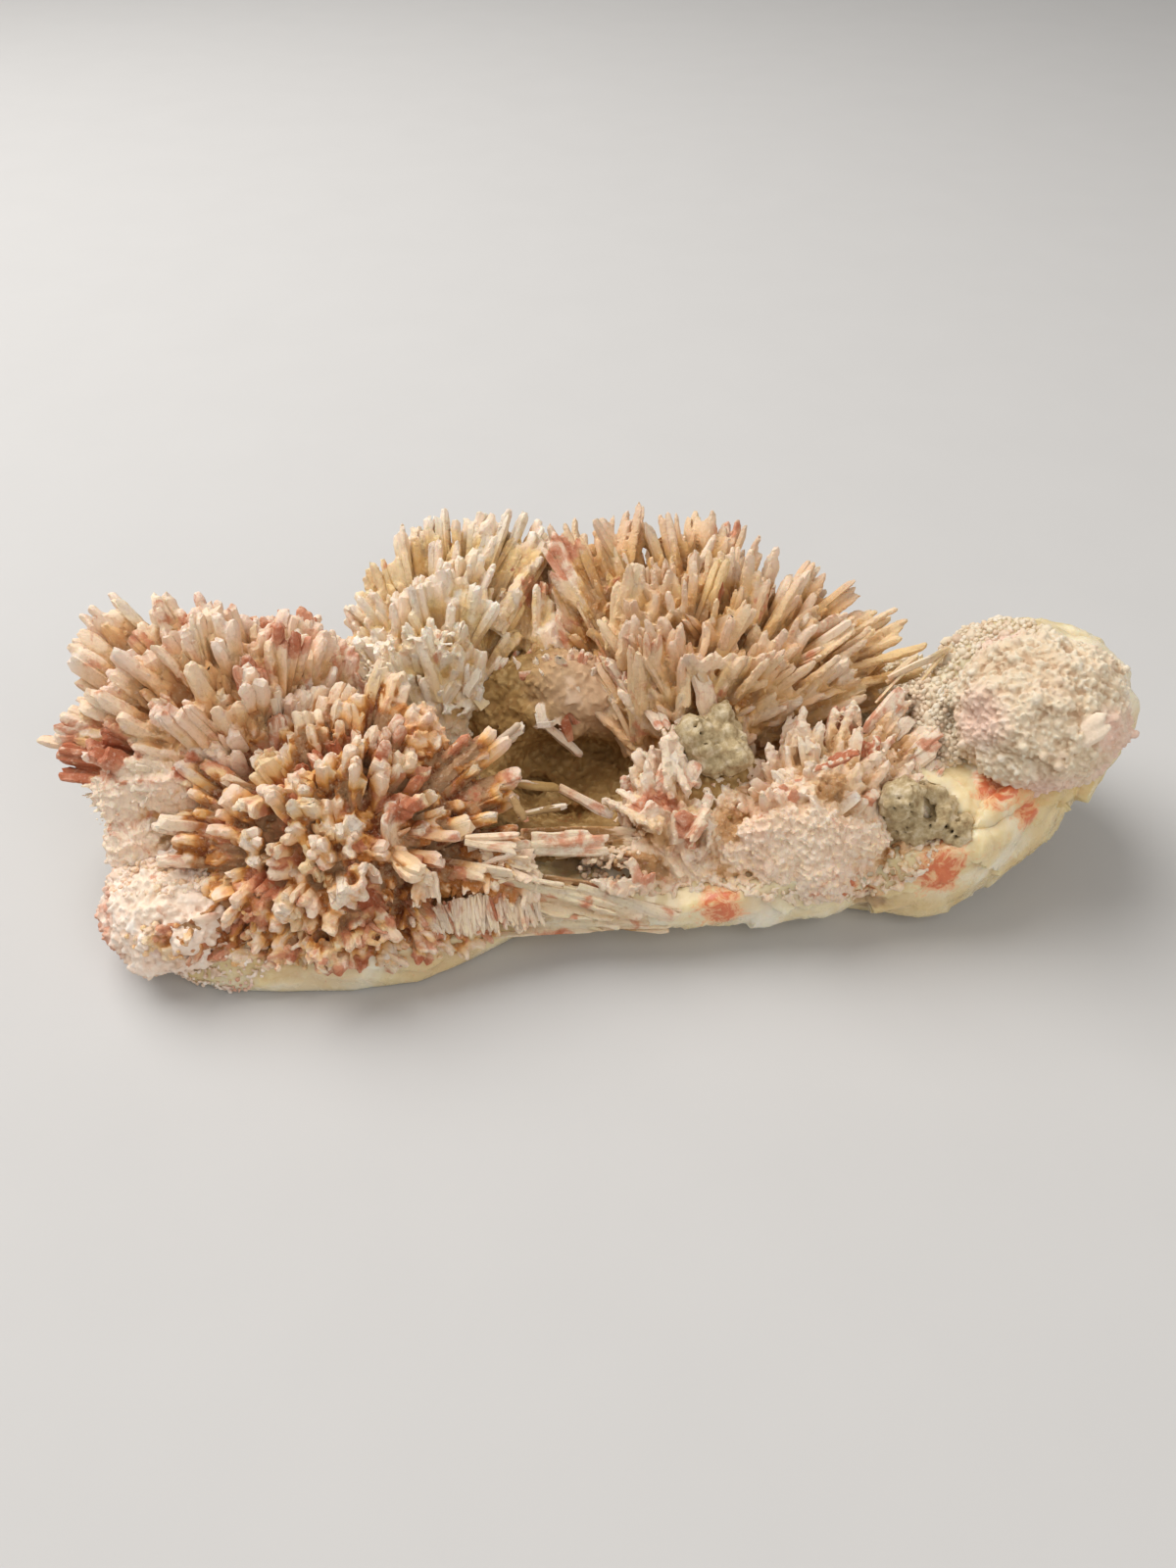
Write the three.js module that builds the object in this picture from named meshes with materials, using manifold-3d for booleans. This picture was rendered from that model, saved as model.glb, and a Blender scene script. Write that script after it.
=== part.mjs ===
// A stilbite cluster: sprays of flat, peach-coloured crystal blades that grew side by side on a crust
// of pale chalcedony. The crust ends on the right in a rounded knob with a broken face. Sandy druse
// fills the hollow between the sprays, and two grey-green nodules are caught in it.
// Millimetres, +Z up. Places are measured from the left end (x), the front edge (y) and the table (z),
// and the finished group is moved so that its origin lies at the bottom centre of its box.

import * as THREE from "three";
import { ConvexGeometry } from "three/addons/geometries/ConvexGeometry.js";
import { mergeVertices } from "three/addons/utils/BufferGeometryUtils.js";
import Module from "manifold-3d";

const wasm = await Module();
wasm.setup();

// ---- driving dimensions -------------------------------------------------------------------------

const GAP = 0.3; // clearance between neighbouring solids
const DISPLAY_TILT = 44; // degrees that the display side leans back from facing the front
const FOOT_SHARE = 0.93; // how far the flat foot reaches towards a rim that touches the table
const FOOT_LOSS = 0.035; // what that share loses for each millimetre that the rim lifts
const FINEST = 0.06; // edges shorter than this are closed up
const CORE_SHARE = 0.58; // how far a spray's blades are grown together, as a share of their reach
const BLADE_THICKNESS = 0.42; // a blade's thickness as a share of its width
const SEED = 7;

// The crust's rim, anticlockwise from the front left: x, y, height of its lower edge, height of its top.
const RIM = [
  [41, 0.5, 0, 7],
  [58, 1.5, 0, 8],
  [69, 4.5, 2, 9],
  [82, 9.5, 6, 11],
  [94, 9, 5.5, 10],
  [105, 9, 4.5, 11],
  [119, 11, 4.5, 14],
  [133, 13.5, 5, 14],
  [141, 14, 3.5, 17],
  [149, 14.5, 3, 19],
  [159, 20, 5, 21],
  [171, 30, 10, 25],
  [178, 40, 15, 29],
  [177, 50, 16, 30],
  [169, 58, 10, 26],
  [154, 63, 4, 20],
  [136, 66, 1, 14],
  [111, 69, 0, 12],
  [83, 70, 0, 12],
  [57, 67, 0, 12],
  [33, 61, 0, 14],
  [16, 52, 4, 17],
  [10, 38, 7, 18],
  [15, 26, 5, 16],
  [15, 15, 2, 13],
  [20, 6, 0, 10],
  [29, 1.5, 0, 8],
];
const RIM_CENTRE = [92, 38];
const RIM_SAMPLES = 42;

// A blade is [turn, lean, reach, width]. Turn is its direction on the display side in degrees,
// anticlockwise from +X; lean is how far it tips towards the viewer; reach is the distance of its tip
// from the spray's root. A fan is a loop of further blades between two turns at one lean.
const SPRAYS = {
  front_rosette: {
    root: [50.3, 18.8, 13],
    mound: [15, 13, 8],
    colour: 0xe9c3a4,
    blades: [
      [122, 8, 25, 4.6],
      [106, 14, 24, 4.2],
      [91, 4, 28, 3],
      [77, 2, 31, 4.8],
      [67, 6, 30, 3.6],
      [59, 2, 40, 3.6],
      [36, 4, 33, 3.4],
      [23, 6, 32, 3.2],
      [62, 24, 25, 5],
      [8, 10, 30, 4],
      [-8, 16, 26, 4],
      [136, 4, 29, 2.6],
      [150, 6, 29, 4.6],
      [171, 14, 29, 4.2],
      [-156, 18, 23, 4.4],
      [-138, 28, 20, 4.6],
      [-112, 26, 20.5, 3.6],
      [-88, 28, 19.5, 4],
      [-62, 24, 21.5, 3.6],
      [-38, 22, 23, 3.6],
    ],
    fans: [
      { from: 10, to: 370, count: 8, lean: 40, reach: 21, width: 4.8 },
      { from: 40, to: 400, count: 4, lean: 68, reach: 19, width: 4.8 },
    ],
  },
  left_wing: {
    root: [36, 31, 16],
    mound: [19, 12, 8],
    colour: 0xe6bfa6,
    blades: [
      [135, 0, 42, 5],
      [121, 3, 35, 3.6],
      [111, 2, 34, 4.6],
      [109, 12, 26, 3.2],
      [98, 0, 28, 4.4],
      [79, 0, 30, 5],
      [69, 2, 29, 5],
      [142, 2, 40, 4],
      [149, 2, 37, 3.8],
      [165, 4, 36.5, 4.4],
      [173, 8, 33, 4],
      [181, 4, 31, 4.2],
      [199, 8, 26, 4.2],
      [208, 10, 24, 4.2],
    ],
    fans: [
      { from: 70, to: 205, count: 6, lean: 24, reach: 30, width: 5 },
      { from: 80, to: 190, count: 3, lean: 46, reach: 24, width: 5 },
      { from: 75, to: 180, count: 4, lean: -28, reach: 31, width: 5.6 },
    ],
  },
  centre_left_sheaf: {
    root: [63.7, 45.1, 15],
    mound: [13, 11, 9],
    colour: 0xecd0ac,
    blades: [
      [134, 4, 26, 4],
      [125, 2, 28.5, 3.8],
      [113, 1, 32, 4.4],
      [98, -1, 38.5, 4.4],
      [87, -2, 40, 4.4],
      [80, -4, 41, 3.6],
      [73, -2, 42, 4],
      [66, -4, 42, 4.4],
      [60, -2, 34, 4],
      [51, -14, 33, 5],
      [42, -10, 27, 4.6],
    ],
    fans: [
      { from: 66, to: 122, count: 4, lean: 16, reach: 29, width: 4.4 },
      { from: 66, to: 150, count: 3, lean: 38, reach: 20, width: 4.4 },
      { from: 62, to: 130, count: 5, lean: -28, reach: 33, width: 5 },
    ],
  },
  centre_right_sheaf: {
    root: [105.5, 37.4, 14],
    mound: [16, 11, 10],
    colour: 0xe8be94,
    blades: [
      [134, -8, 31, 5],
      [126, -12, 41, 5],
      [118, 0, 49, 4],
      [112, -2, 46, 4.2],
      [104, -4, 47, 4.6],
      [97, -2, 47.5, 4.2],
      [88, -4, 45.5, 4.2],
      [81, -2, 45, 4.2],
      [74, -2, 43, 3.6],
      [66, -4, 42.5, 4.4],
      [57, -2, 43, 4.4],
      [48, 0, 43.5, 4.4],
      [39, 0, 44.5, 4.2],
      [32, 2, 46, 4.6],
      [24, 2, 46.5, 3.6],
    ],
    fans: [
      { from: 26, to: 112, count: 7, lean: 14, reach: 36, width: 4.4 },
      { from: 34, to: 112, count: 4, lean: 34, reach: 27, width: 4.6 },
      { from: 26, to: 122, count: 7, lean: -26, reach: 40, width: 5.6 },
    ],
  },
  right_fan: {
    root: [123.1, 18, 11],
    mound: [15, 7, 9],
    colour: 0xecc8b4,
    blades: [
      [126, 6, 21, 3],
      [108, 8, 21, 3.4],
      [92, 4, 26, 2.8],
      [84, 14, 24, 3.4],
      [76, 4, 29, 2.8],
      [70, 16, 25, 4.2],
      [61, 0, 34, 3.4],
      [60, 14, 26, 3.6],
      [50, 2, 32, 4.6],
      [40, 6, 28, 4],
      [28, 10, 24, 4],
    ],
    fans: [
      { from: 15, to: 165, count: 5, lean: 36, reach: 18, width: 4.4 },
    ],
  },
  broken_ridge: {
    root: [103, 18, 8],
    mound: [8, 6, 7],
    colour: 0xe8cdbb,
    blades: [
      [124, 10, 17, 6],
      [108, 4, 22, 5.4],
      [94, 8, 25, 6.4],
      [84, 2, 27, 5.4],
      [66, 8, 22, 5.6],
      [48, 12, 17, 5],
      [100, 34, 17, 6],
      [72, 36, 16, 5.4],
      [20, 34, 11, 5],
      [160, 36, 11, 5],
    ],
    fans: [],
  },
};

// The laths that bridge the front between the rosette and the ridge lie side by side.
const BUNDLE = { root: [73, 10.5, 10], count: 7, reach: 27, width: 2.6, pitch: 2, colour: 0xeee0c6 };

// Rounded masses: centre, radii, roughness (the share by which points move in and out) and points
// round the equator.
const KNOB = [
  { centre: [160, 39, 26], radii: [17.5, 16, 15], rough: 0.02, detail: 16 },
  { centre: [150, 30, 14], radii: [20, 15, 12], rough: 0.03, detail: 14 },
];
const KNOB_BREAKS = [
  { through: [146, 17, 14], facing: [-0.25, -1, 0.35] },
  { through: [163, 25, 12], facing: [0.55, -1, 0.1] },
  { through: [150, 20, 5], facing: [0.1, -0.5, -1] },
];
const KNOB_DRUSE = [{ centre: [158.5, 32, 31.5], radii: [13.8, 13, 12], rough: 0.05, detail: 12 }];
const LOBE_DRUSE = [{ centre: [26, 12.5, 8], radii: [13, 12, 8.6], rough: 0.07, detail: 12 }];
const CENTRE_NODULE = [{ centre: [108.5, 31, 25], radii: [6, 5.4, 5], rough: 0.1, detail: 10 }];
const RIGHT_NODULE = [{ centre: [140.5, 21.5, 19.5], radii: [7.5, 5.5, 5.5], rough: 0.1, detail: 10 }];
const RIGHT_CRATER = [{ centre: [139.5, 16.5, 24.5], radii: [4, 4, 3], rough: 0.05, detail: 6 }];
const HOLLOW_DRUSE = [
  { centre: [84, 50, 12], radii: [19, 10, 17], rough: 0.06, detail: 12 },
  { centre: [109, 29, 12], radii: [14, 11, 12], rough: 0.06, detail: 10 },
  { centre: [85, 33, 11], radii: [19, 16, 7], rough: 0.05, detail: 12 },
];
const HOLLOW = [{ centre: [84, 30, 24], radii: [15, 12, 9.5], rough: 0.05, detail: 10 }];
const TABLE = { through: [0, 0, 0], facing: [0, 0, -1] };

// ---- from three.js geometry to manifold-3d solids and back ---------------------------------------

function solidOf(geometry) {
  const bare = new THREE.BufferGeometry();
  bare.setAttribute("position", geometry.getAttribute("position").clone());
  if (geometry.index) bare.setIndex(geometry.index.clone());
  const merged = mergeVertices(bare, 1e-4);
  return new wasm.Manifold(
    new wasm.Mesh({
      numProp: 3,
      vertProperties: new Float32Array(merged.attributes.position.array),
      triVerts: new Uint32Array(merged.index.array),
    }),
  );
}

function geometryOf(solid) {
  const mesh = solid.getMesh();
  const geometry = new THREE.BufferGeometry();
  geometry.setAttribute("position", new THREE.BufferAttribute(mesh.vertProperties, 3));
  geometry.setIndex(new THREE.BufferAttribute(mesh.triVerts, 1));
  geometry.computeVertexNormals();
  return geometry;
}

const joined = (solids) => solids.reduce((a, b) => a.add(b));

// Cutting a spray by its neighbour can cut a blade's tip loose: the largest body is the piece.
function largestBody(solid) {
  return solid.decompose().reduce((a, b) => (b.volume() > a.volume() ? b : a)).simplify(FINEST);
}

// ---- shapes --------------------------------------------------------------------------------------

// The same sequence of numbers from 0 to 1 for each seed.
function randomFrom(seed) {
  let state = seed >>> 0;
  return () => {
    state = (Math.imul(state, 1664525) + 1013904223) >>> 0;
    return state / 2 ** 32;
  };
}

const rad = THREE.MathUtils.degToRad;
const TILT = rad(DISPLAY_TILT);
const RIGHT = new THREE.Vector3(1, 0, 0);
const UPWARD = new THREE.Vector3(0, Math.sin(TILT), Math.cos(TILT));
const TOWARDS = new THREE.Vector3(0, -Math.cos(TILT), Math.sin(TILT));

function displayDirection(turn, lean) {
  return new THREE.Vector3()
    .addScaledVector(RIGHT, Math.cos(rad(turn)) * Math.cos(rad(lean)))
    .addScaledVector(UPWARD, Math.sin(rad(turn)) * Math.cos(rad(lean)))
    .addScaledVector(TOWARDS, Math.sin(rad(lean)));
}

// A flat blade that widens from the root and ends in a blunt, skewed point.
function blade(root, [turn, lean, reach, width], grow) {
  const w = width / 2 + grow;
  const tip = reach + grow;
  const thickness = width * BLADE_THICKNESS + 2 * grow;
  const skew = Math.sin(7 * turn + lean);
  const outline = new THREE.Shape([
    new THREE.Vector2(0, 0),
    new THREE.Vector2(w, tip - (1.1 - 0.4 * skew) * w),
    new THREE.Vector2(0.6 * skew * w, tip),
    new THREE.Vector2(-w, tip - (1.1 + 0.4 * skew) * w),
  ]);
  const geometry = new THREE.ExtrudeGeometry(outline, { depth: thickness, bevelEnabled: false });
  geometry.translate(0, 0, -thickness / 2);
  const along = displayDirection(turn, lean);
  const facing = Math.abs(lean) > 60 ? UPWARD : TOWARDS;
  const across = new THREE.Vector3().crossVectors(along, facing).normalize();
  const through = new THREE.Vector3().crossVectors(across, along);
  const place = new THREE.Matrix4().makeBasis(across, along, through);
  place.setPosition(root);
  return solidOf(geometry.applyMatrix4(place));
}

// A rounded mass: a low sphere with its points moved in and out.
function mass({ centre, radii, rough, detail }, grow) {
  const random = randomFrom(SEED + Math.round(centre[0]));
  const sphere = new THREE.SphereGeometry(1, detail, Math.round(detail * 0.6));
  sphere.deleteAttribute("normal");
  sphere.deleteAttribute("uv");
  const geometry = mergeVertices(sphere, 1e-4);
  const at = geometry.getAttribute("position");
  for (let i = 0; i < at.count; i++) {
    const out = 1 + rough * (2 * random() - 1);
    at.setXYZ(
      i,
      centre[0] + at.getX(i) * (radii[0] * out + grow),
      centre[1] + at.getY(i) * (radii[1] * out + grow),
      centre[2] + at.getZ(i) * (radii[2] * out + grow),
    );
  }
  return solidOf(geometry);
}

const masses = (list, grow) => joined(list.map((m) => mass(m, grow)));

// Everything on one side of a plane, as a large box: what a break has carried off.
function beyond({ through, facing }, grow) {
  const size = 200;
  const normal = new THREE.Vector3(...facing).normalize();
  const geometry = new THREE.BoxGeometry(size, size, size);
  geometry.translate(0, 0, size / 2 + grow);
  geometry.applyQuaternion(
    new THREE.Quaternion().setFromUnitVectors(new THREE.Vector3(0, 0, 1), normal));
  geometry.translate(...through);
  return solidOf(geometry);
}

// The part of a spray where its blades have grown together: the hull of points along them and of
// the mound round their root.
function core(root, mound, blades, grow) {
  const at = new THREE.Vector3(...root);
  const axes = [RIGHT, UPWARD, TOWARDS];
  const around = axes.flatMap((axis, i) => [mound[i], -mound[i]].map((r) => (
    at.clone().addScaledVector(axis, r))));
  const along = blades.map(([turn, lean, reach]) => (
    displayDirection(turn, lean).multiplyScalar(reach * CORE_SHARE).add(at)));
  const points = [...around, ...along];
  if (grow === 0) return solidOf(new ConvexGeometry(points));
  const step = Math.sqrt(3) * grow;
  return solidOf(new ConvexGeometry(points.flatMap((p) => axes.flatMap((axis) => [
    p.clone().addScaledVector(axis, step),
    p.clone().addScaledVector(axis, -step),
  ]))));
}

// Rings of equal length joined by quads, closed at each end by a fan to a centre point.
function loft(rings, firstCentre, lastCentre) {
  const points = rings.flat();
  const n = rings[0].length;
  const first = points.push(firstCentre) - 1;
  const last = points.push(lastCentre) - 1;
  const faces = [];
  for (let i = 0; i < n; i++) {
    const j = (i + 1) % n;
    faces.push(first, j, i);
    for (let k = 0; k + 1 < rings.length; k++) {
      const a = k * n;
      const b = a + n;
      faces.push(a + i, a + j, b + j, a + i, b + j, b + i);
    }
    const top = (rings.length - 1) * n;
    faces.push(top + i, top + j, last);
  }
  const geometry = new THREE.BufferGeometry();
  geometry.setAttribute("position", new THREE.Float32BufferAttribute(points.flat(), 3));
  geometry.setIndex(faces);
  return geometry;
}

// ---- the pieces ----------------------------------------------------------------------------------

// The chalcedony crust: a plate with a wavy rim that lifts off the table between the places it
// stands on, and the knob at its right end, broken open towards the front.
function crust(grow) {
  const curve = (points) => new THREE.CatmullRomCurve3(points, true, "catmullrom", 0.5);
  const plan = curve(RIM.map(([x, y]) => new THREE.Vector3(x, y, 0)));
  const edges = curve(RIM.map(([, , low, top]) => new THREE.Vector3(low, top, 0)));
  const [cx, cy] = RIM_CENTRE;
  const ring = (share, height) => Array.from({ length: RIM_SAMPLES }, (_, i) => {
    const p = plan.getPoint(i / RIM_SAMPLES);
    const edge = edges.getPoint(i / RIM_SAMPLES);
    const low = Math.max(0, edge.x);
    const s = share(low) * (1 + grow / Math.hypot(p.x - cx, p.y - cy));
    return [cx + (p.x - cx) * s, cy + (p.y - cy) * s, height(low, edge.y)];
  });
  const plate = solidOf(loft(
    [
      ring((low) => FOOT_SHARE - FOOT_LOSS * low, () => -grow),
      ring(() => 0.97, (low) => low - grow),
      ring(() => 1, (low, top) => low + 0.42 * (top - low)),
      ring(() => 0.97, (low, top) => top + grow),
      ring(() => 0.72, (low, top) => 0.5 * top + 6.5 + grow),
      ring(() => 0.35, () => 11 + grow),
    ],
    [cx, cy, -grow],
    [cx, cy, 11 + grow],
  ));
  return KNOB_BREAKS.reduce((knob, plane) => knob.subtract(beyond(plane, grow)), masses(KNOB, grow))
    .add(plate);
}

function spray({ root, mound, blades, fans }, grow) {
  const at = new THREE.Vector3(...root);
  const random = randomFrom(SEED + Math.round(root[0]));
  const fanned = fans.flatMap(({ from, to, count, lean, reach, width }) =>
    Array.from({ length: count }, (_, i) => [
      from + ((to - from) * (i + 0.5 + 0.4 * (random() - 0.5))) / count,
      lean + 10 * (random() - 0.5),
      reach * (0.9 + 0.18 * random()),
      width * (0.85 + 0.3 * random()),
    ]));
  const all = [...blades, ...fanned];
  return joined([core(root, mound, all, grow), ...all.map((b) => blade(at, b, grow))]);
}

// Laths side by side in a stack that leans with the display side.
function bundle({ root, count, reach, width, pitch }, grow) {
  const random = randomFrom(SEED);
  const foot = new THREE.Vector3(...root);
  const laths = Array.from({ length: count }, (_, i) => {
    const at = foot.clone()
      .addScaledVector(UPWARD, i * pitch)
      .addScaledVector(TOWARDS, 3 * (i % 2) - 0.4 * i);
    return blade(at, [10 * (random() - 0.5), 4 * random(), reach * (0.8 + 0.2 * random()), width], grow);
  });
  const middle = foot.addScaledVector(UPWARD, ((count - 1) * pitch) / 2);
  const base = { centre: middle.toArray(), radii: [6, 4.5, 7], rough: 0.05, detail: 8 };
  return joined([mass(base, grow), ...laths]);
}

// Each piece is given as a function of how far it is grown outwards, so that its neighbours can be
// cut back from it by the gap.
const PIECES = [
  { name: "chalcedony_crust", colour: 0xece2c8, roughness: 0.45, make: crust },
  {
    name: "hollow_druse",
    colour: 0xc9ab84,
    roughness: 0.85,
    make: (grow) => masses(HOLLOW_DRUSE, grow).subtract(masses(HOLLOW, -grow)),
  },
  ...Object.entries(SPRAYS).map(([name, spec]) => (
    { name, colour: spec.colour, roughness: 0.55, make: (grow) => spray(spec, grow) })),
  {
    name: "front_bundle",
    colour: BUNDLE.colour,
    roughness: 0.55,
    make: (grow) => bundle(BUNDLE, grow),
  },
  {
    name: "centre_nodule",
    colour: 0x8f8468,
    roughness: 0.85,
    make: (grow) => masses(CENTRE_NODULE, grow),
  },
  {
    name: "right_nodule",
    colour: 0xa89a80,
    roughness: 0.85,
    make: (grow) => masses(RIGHT_NODULE, grow).subtract(masses(RIGHT_CRATER, -grow)),
  },
  {
    name: "knob_druse",
    colour: 0xe6d2bc,
    roughness: 0.8,
    make: (grow) => masses(KNOB_DRUSE, grow),
  },
  {
    name: "left_lobe_druse",
    colour: 0xdcb49c,
    roughness: 0.8,
    make: (grow) => masses(LOBE_DRUSE, grow).subtract(beyond(TABLE, 0)),
  },
];

const group = new THREE.Group();
const taken = [];
for (const { name, colour, roughness, make } of PIECES) {
  const cutBack = taken.reduce((left, cut) => left.subtract(cut), make(0));
  const solid = largestBody(cutBack);
  taken.push(make(GAP));
  const mesh = new THREE.Mesh(
    geometryOf(solid),
    new THREE.MeshStandardMaterial({ color: colour, roughness, metalness: 0, flatShading: true }),
  );
  mesh.name = name;
  group.add(mesh);
}

const box = new THREE.Box3().setFromObject(group);
const centre = box.getCenter(new THREE.Vector3());
group.position.set(-centre.x, -centre.y, -box.min.z);

export default group;
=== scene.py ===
"""A stilbite cluster on chalcedony: thousands of peach-coloured laths in radiating sprays, granular
druse, two pitted nodules and a pale waxy crust, all kept inside the CAD's box."""
import math

import bmesh
import bpy
import numpy as np
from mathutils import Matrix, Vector, noise
from mathutils.bvhtree import BVHTree
from mathutils.kdtree import KDTree


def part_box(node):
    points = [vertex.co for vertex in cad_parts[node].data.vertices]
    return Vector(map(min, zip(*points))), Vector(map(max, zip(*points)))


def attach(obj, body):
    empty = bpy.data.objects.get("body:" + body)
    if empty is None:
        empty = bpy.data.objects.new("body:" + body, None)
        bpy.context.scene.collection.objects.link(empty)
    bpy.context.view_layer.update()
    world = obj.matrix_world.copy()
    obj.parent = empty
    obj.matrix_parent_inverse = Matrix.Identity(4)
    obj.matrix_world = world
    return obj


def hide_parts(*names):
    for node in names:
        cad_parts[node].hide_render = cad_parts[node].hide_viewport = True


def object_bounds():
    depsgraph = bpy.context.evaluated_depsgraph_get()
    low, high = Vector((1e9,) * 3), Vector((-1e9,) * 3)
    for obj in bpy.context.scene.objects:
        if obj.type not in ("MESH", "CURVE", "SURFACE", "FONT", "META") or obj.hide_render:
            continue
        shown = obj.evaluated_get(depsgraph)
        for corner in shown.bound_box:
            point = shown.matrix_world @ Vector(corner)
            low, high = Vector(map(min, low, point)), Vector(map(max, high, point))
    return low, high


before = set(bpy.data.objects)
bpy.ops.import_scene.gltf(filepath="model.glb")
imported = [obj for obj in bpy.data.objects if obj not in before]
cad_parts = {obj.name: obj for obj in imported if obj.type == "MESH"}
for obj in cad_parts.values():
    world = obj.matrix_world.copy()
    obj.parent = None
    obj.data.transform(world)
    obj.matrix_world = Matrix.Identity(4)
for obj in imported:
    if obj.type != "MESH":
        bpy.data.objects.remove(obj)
CAD_LOW, CAD_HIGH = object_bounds()

MM = 0.001
LOW, HIGH = np.array(CAD_LOW), np.array(CAD_HIGH)
FLOOR_CLEARANCE = 0.05 * MM  # pieces that come down to the table stop this far above it
FAR = 300 * MM  # further than any tip from any root

# The side that the cluster shows leans back by this much, and blades are placed in its directions.
DISPLAY_TILT = math.radians(44)
RIGHT = np.array((1.0, 0.0, 0.0))
UPWARD = np.array((0.0, math.sin(DISPLAY_TILT), math.cos(DISPLAY_TILT)))
TOWARDS = np.array((0.0, -math.cos(DISPLAY_TILT), math.sin(DISPLAY_TILT)))


# ---- places in the frame -------------------------------------------------------------------------

def place(node, share):
    """The point at the given shares of a CAD node's box."""
    low, high = (np.array(corner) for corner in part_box(node))
    return low + (high - low) * np.array(share)


def tree_of(node):
    """A search tree of a CAD node's surface."""
    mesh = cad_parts[node].data
    return BVHTree.FromPolygons([v.co for v in mesh.vertices], [p.vertices for p in mesh.polygons])


def hull_of(node):
    """A search tree of the convex hull of a CAD node."""
    shape = bmesh.new()
    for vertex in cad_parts[node].data.vertices:
        shape.verts.new(vertex.co)
    bmesh.ops.convex_hull(shape, input=shape.verts)
    tree = BVHTree.FromBMesh(shape)
    shape.free()
    return tree


def reach_of(hull, root, direction):
    """How far the hull extends from the root in a direction, or 0."""
    start = Vector(root + direction * FAR)
    hit = hull.ray_cast(start, Vector(-direction))[0]
    return 0.0 if hit is None else max(0.0, float(np.dot(np.array(hit) - root, direction)))


def inside(tree, point):
    """How deep a point lies in a closed surface, or a negative distance outside it."""
    nearest, normal, _, _ = tree.find_nearest(Vector(point))
    away = Vector(point) - nearest
    return -math.copysign(away.length, away.dot(normal))


def points_of(node):
    return np.array([v.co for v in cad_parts[node].data.vertices])


def finder(points):
    """A search tree of points."""
    tree = KDTree(len(points))
    for i, point in enumerate(points):
        tree.insert(point, i)
    tree.balance()
    return tree


def tips_of(node, root):
    """The tips of a CAD spray's blades: its points that are further from the root than those near."""
    apart = 2.6 * MM
    points = points_of(node)
    reach = np.linalg.norm(points - root, axis=1)
    tree = finder(points)
    tips = []
    for i in np.argsort(-reach):
        if reach[i] < 0.5 * reach.max():
            break
        near = [j for _, j, _ in tree.find_range(points[i], apart)]
        is_new = all(np.linalg.norm(points[i] - tip) > apart for tip in tips)
        if is_new and reach[near].max() <= reach[i] + 1e-7:
            tips.append(points[i])
    return tips


def everything():
    """A search tree of all the CAD nodes, and their extent up the display side."""
    points, faces = [], []
    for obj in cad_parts.values():
        faces += [[len(points) + i for i in p.vertices] for p in obj.data.polygons]
        points += [v.co.copy() for v in obj.data.vertices]
    heights = np.array(points) @ UPWARD
    return BVHTree.FromPolygons(points, faces), heights.min(), heights.max()


SURFACE, FOOT, CROWN = everything()


def elevation(points):
    """Where points stand on the display side, as shares of its width and height."""
    x = (points[..., 0] - LOW[0]) / (HIGH[0] - LOW[0])
    return x, (points @ UPWARD - FOOT) / (CROWN - FOOT)


def at_front(x, h, deep):
    """A place by its shares of the display side's width and height, and its depth in millimetres."""
    across, up = LOW[0] + x * (HIGH[0] - LOW[0]), FOOT + h * (CROWN - FOOT)
    return RIGHT * across + UPWARD * up + TOWARDS * deep * MM


def front(x, h):
    """The first CAD surface met from the display side at a share of its width and height."""
    while True:
        start = at_front(x, h, 0) + TOWARDS * FAR
        hit = SURFACE.ray_cast(Vector(start), Vector(-TOWARDS))[0]
        if hit is not None:
            return np.array(hit)
        x, h = x + (0.5 - x) * 0.02, h + (0.4 - h) * 0.05  # from beside the cluster, back towards it


def depth_in(points, ovals):
    """How deep points are in the deepest of some ovals, 1 at a centre, 0 at an edge and -1 where
    they are in none. An oval is a centre on the display side, then a half width and a half height
    in millimetres."""
    x, h = elevation(points)
    found = np.full(len(points), -1.0)
    for at_x, at_h, wide, high in ovals:
        across = (x - at_x) * (HIGH[0] - LOW[0]) / (wide * MM)
        up = (h - at_h) * (CROWN - FOOT) / (high * MM)
        found = np.maximum(found, 1 - np.sqrt(across ** 2 + up ** 2))
    return found


def within(points, ovals):
    return depth_in(points, ovals) > 0


# The holes, which also get painted shade, the hollow and the swelling over it: ovals as above, then
# how far each is pushed back, in millimetres.
HOLES = [(0.445, 0.392, 3.4, 2.0, 4.0), (0.481, 0.335, 4.2, 1.8, 4.0), (0.484, 0.240, 5.0, 1.6, 2.5),
         (0.749, 0.168, 3.6, 1.8, 2.5)]
DENTS = [(0.480, 0.405, 13, 9.5, 9.0), (0.500, 0.600, 12, 6.5, -3.0)] + HOLES


def painted_hole_shade(points):
    """How much painted shade points get for being in the holes, from 0 to 1."""
    return smooth(0.0, 0.4, depth_in(points, [hole[:4] for hole in HOLES]))


# ---- chance and noise ----------------------------------------------------------------------------

def chance(seed):
    return np.random.default_rng(seed)


def rough(points, size, seed):
    """Fractal noise, about -1 to 1, with features of the given size."""
    shift = Vector((seed * 13.7, seed * 7.3, seed * 3.1))
    return np.array([noise.fractal(Vector(p) / size + shift, 1.0, 2.0, 3) for p in points])


def smooth(low, high, value):
    """From 0 to 1 as a value goes from low to high, with no corners."""
    t = np.clip((value - low) / (high - low), 0.0, 1.0)
    return t * t * (3 - 2 * t)


def unit(v):
    return v / np.linalg.norm(v, axis=-1, keepdims=True)


# ---- meshes --------------------------------------------------------------------------------------

# The marks that the materials read. "along" runs from the feet to the tips of laths and is lowered for
# painted shade in gaps, holes and pits; the yellow-stain marks are also painted shade along the crust's
# lower rim.
MARKS = ("along", "tint", "white", "mustard", "red")


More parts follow.
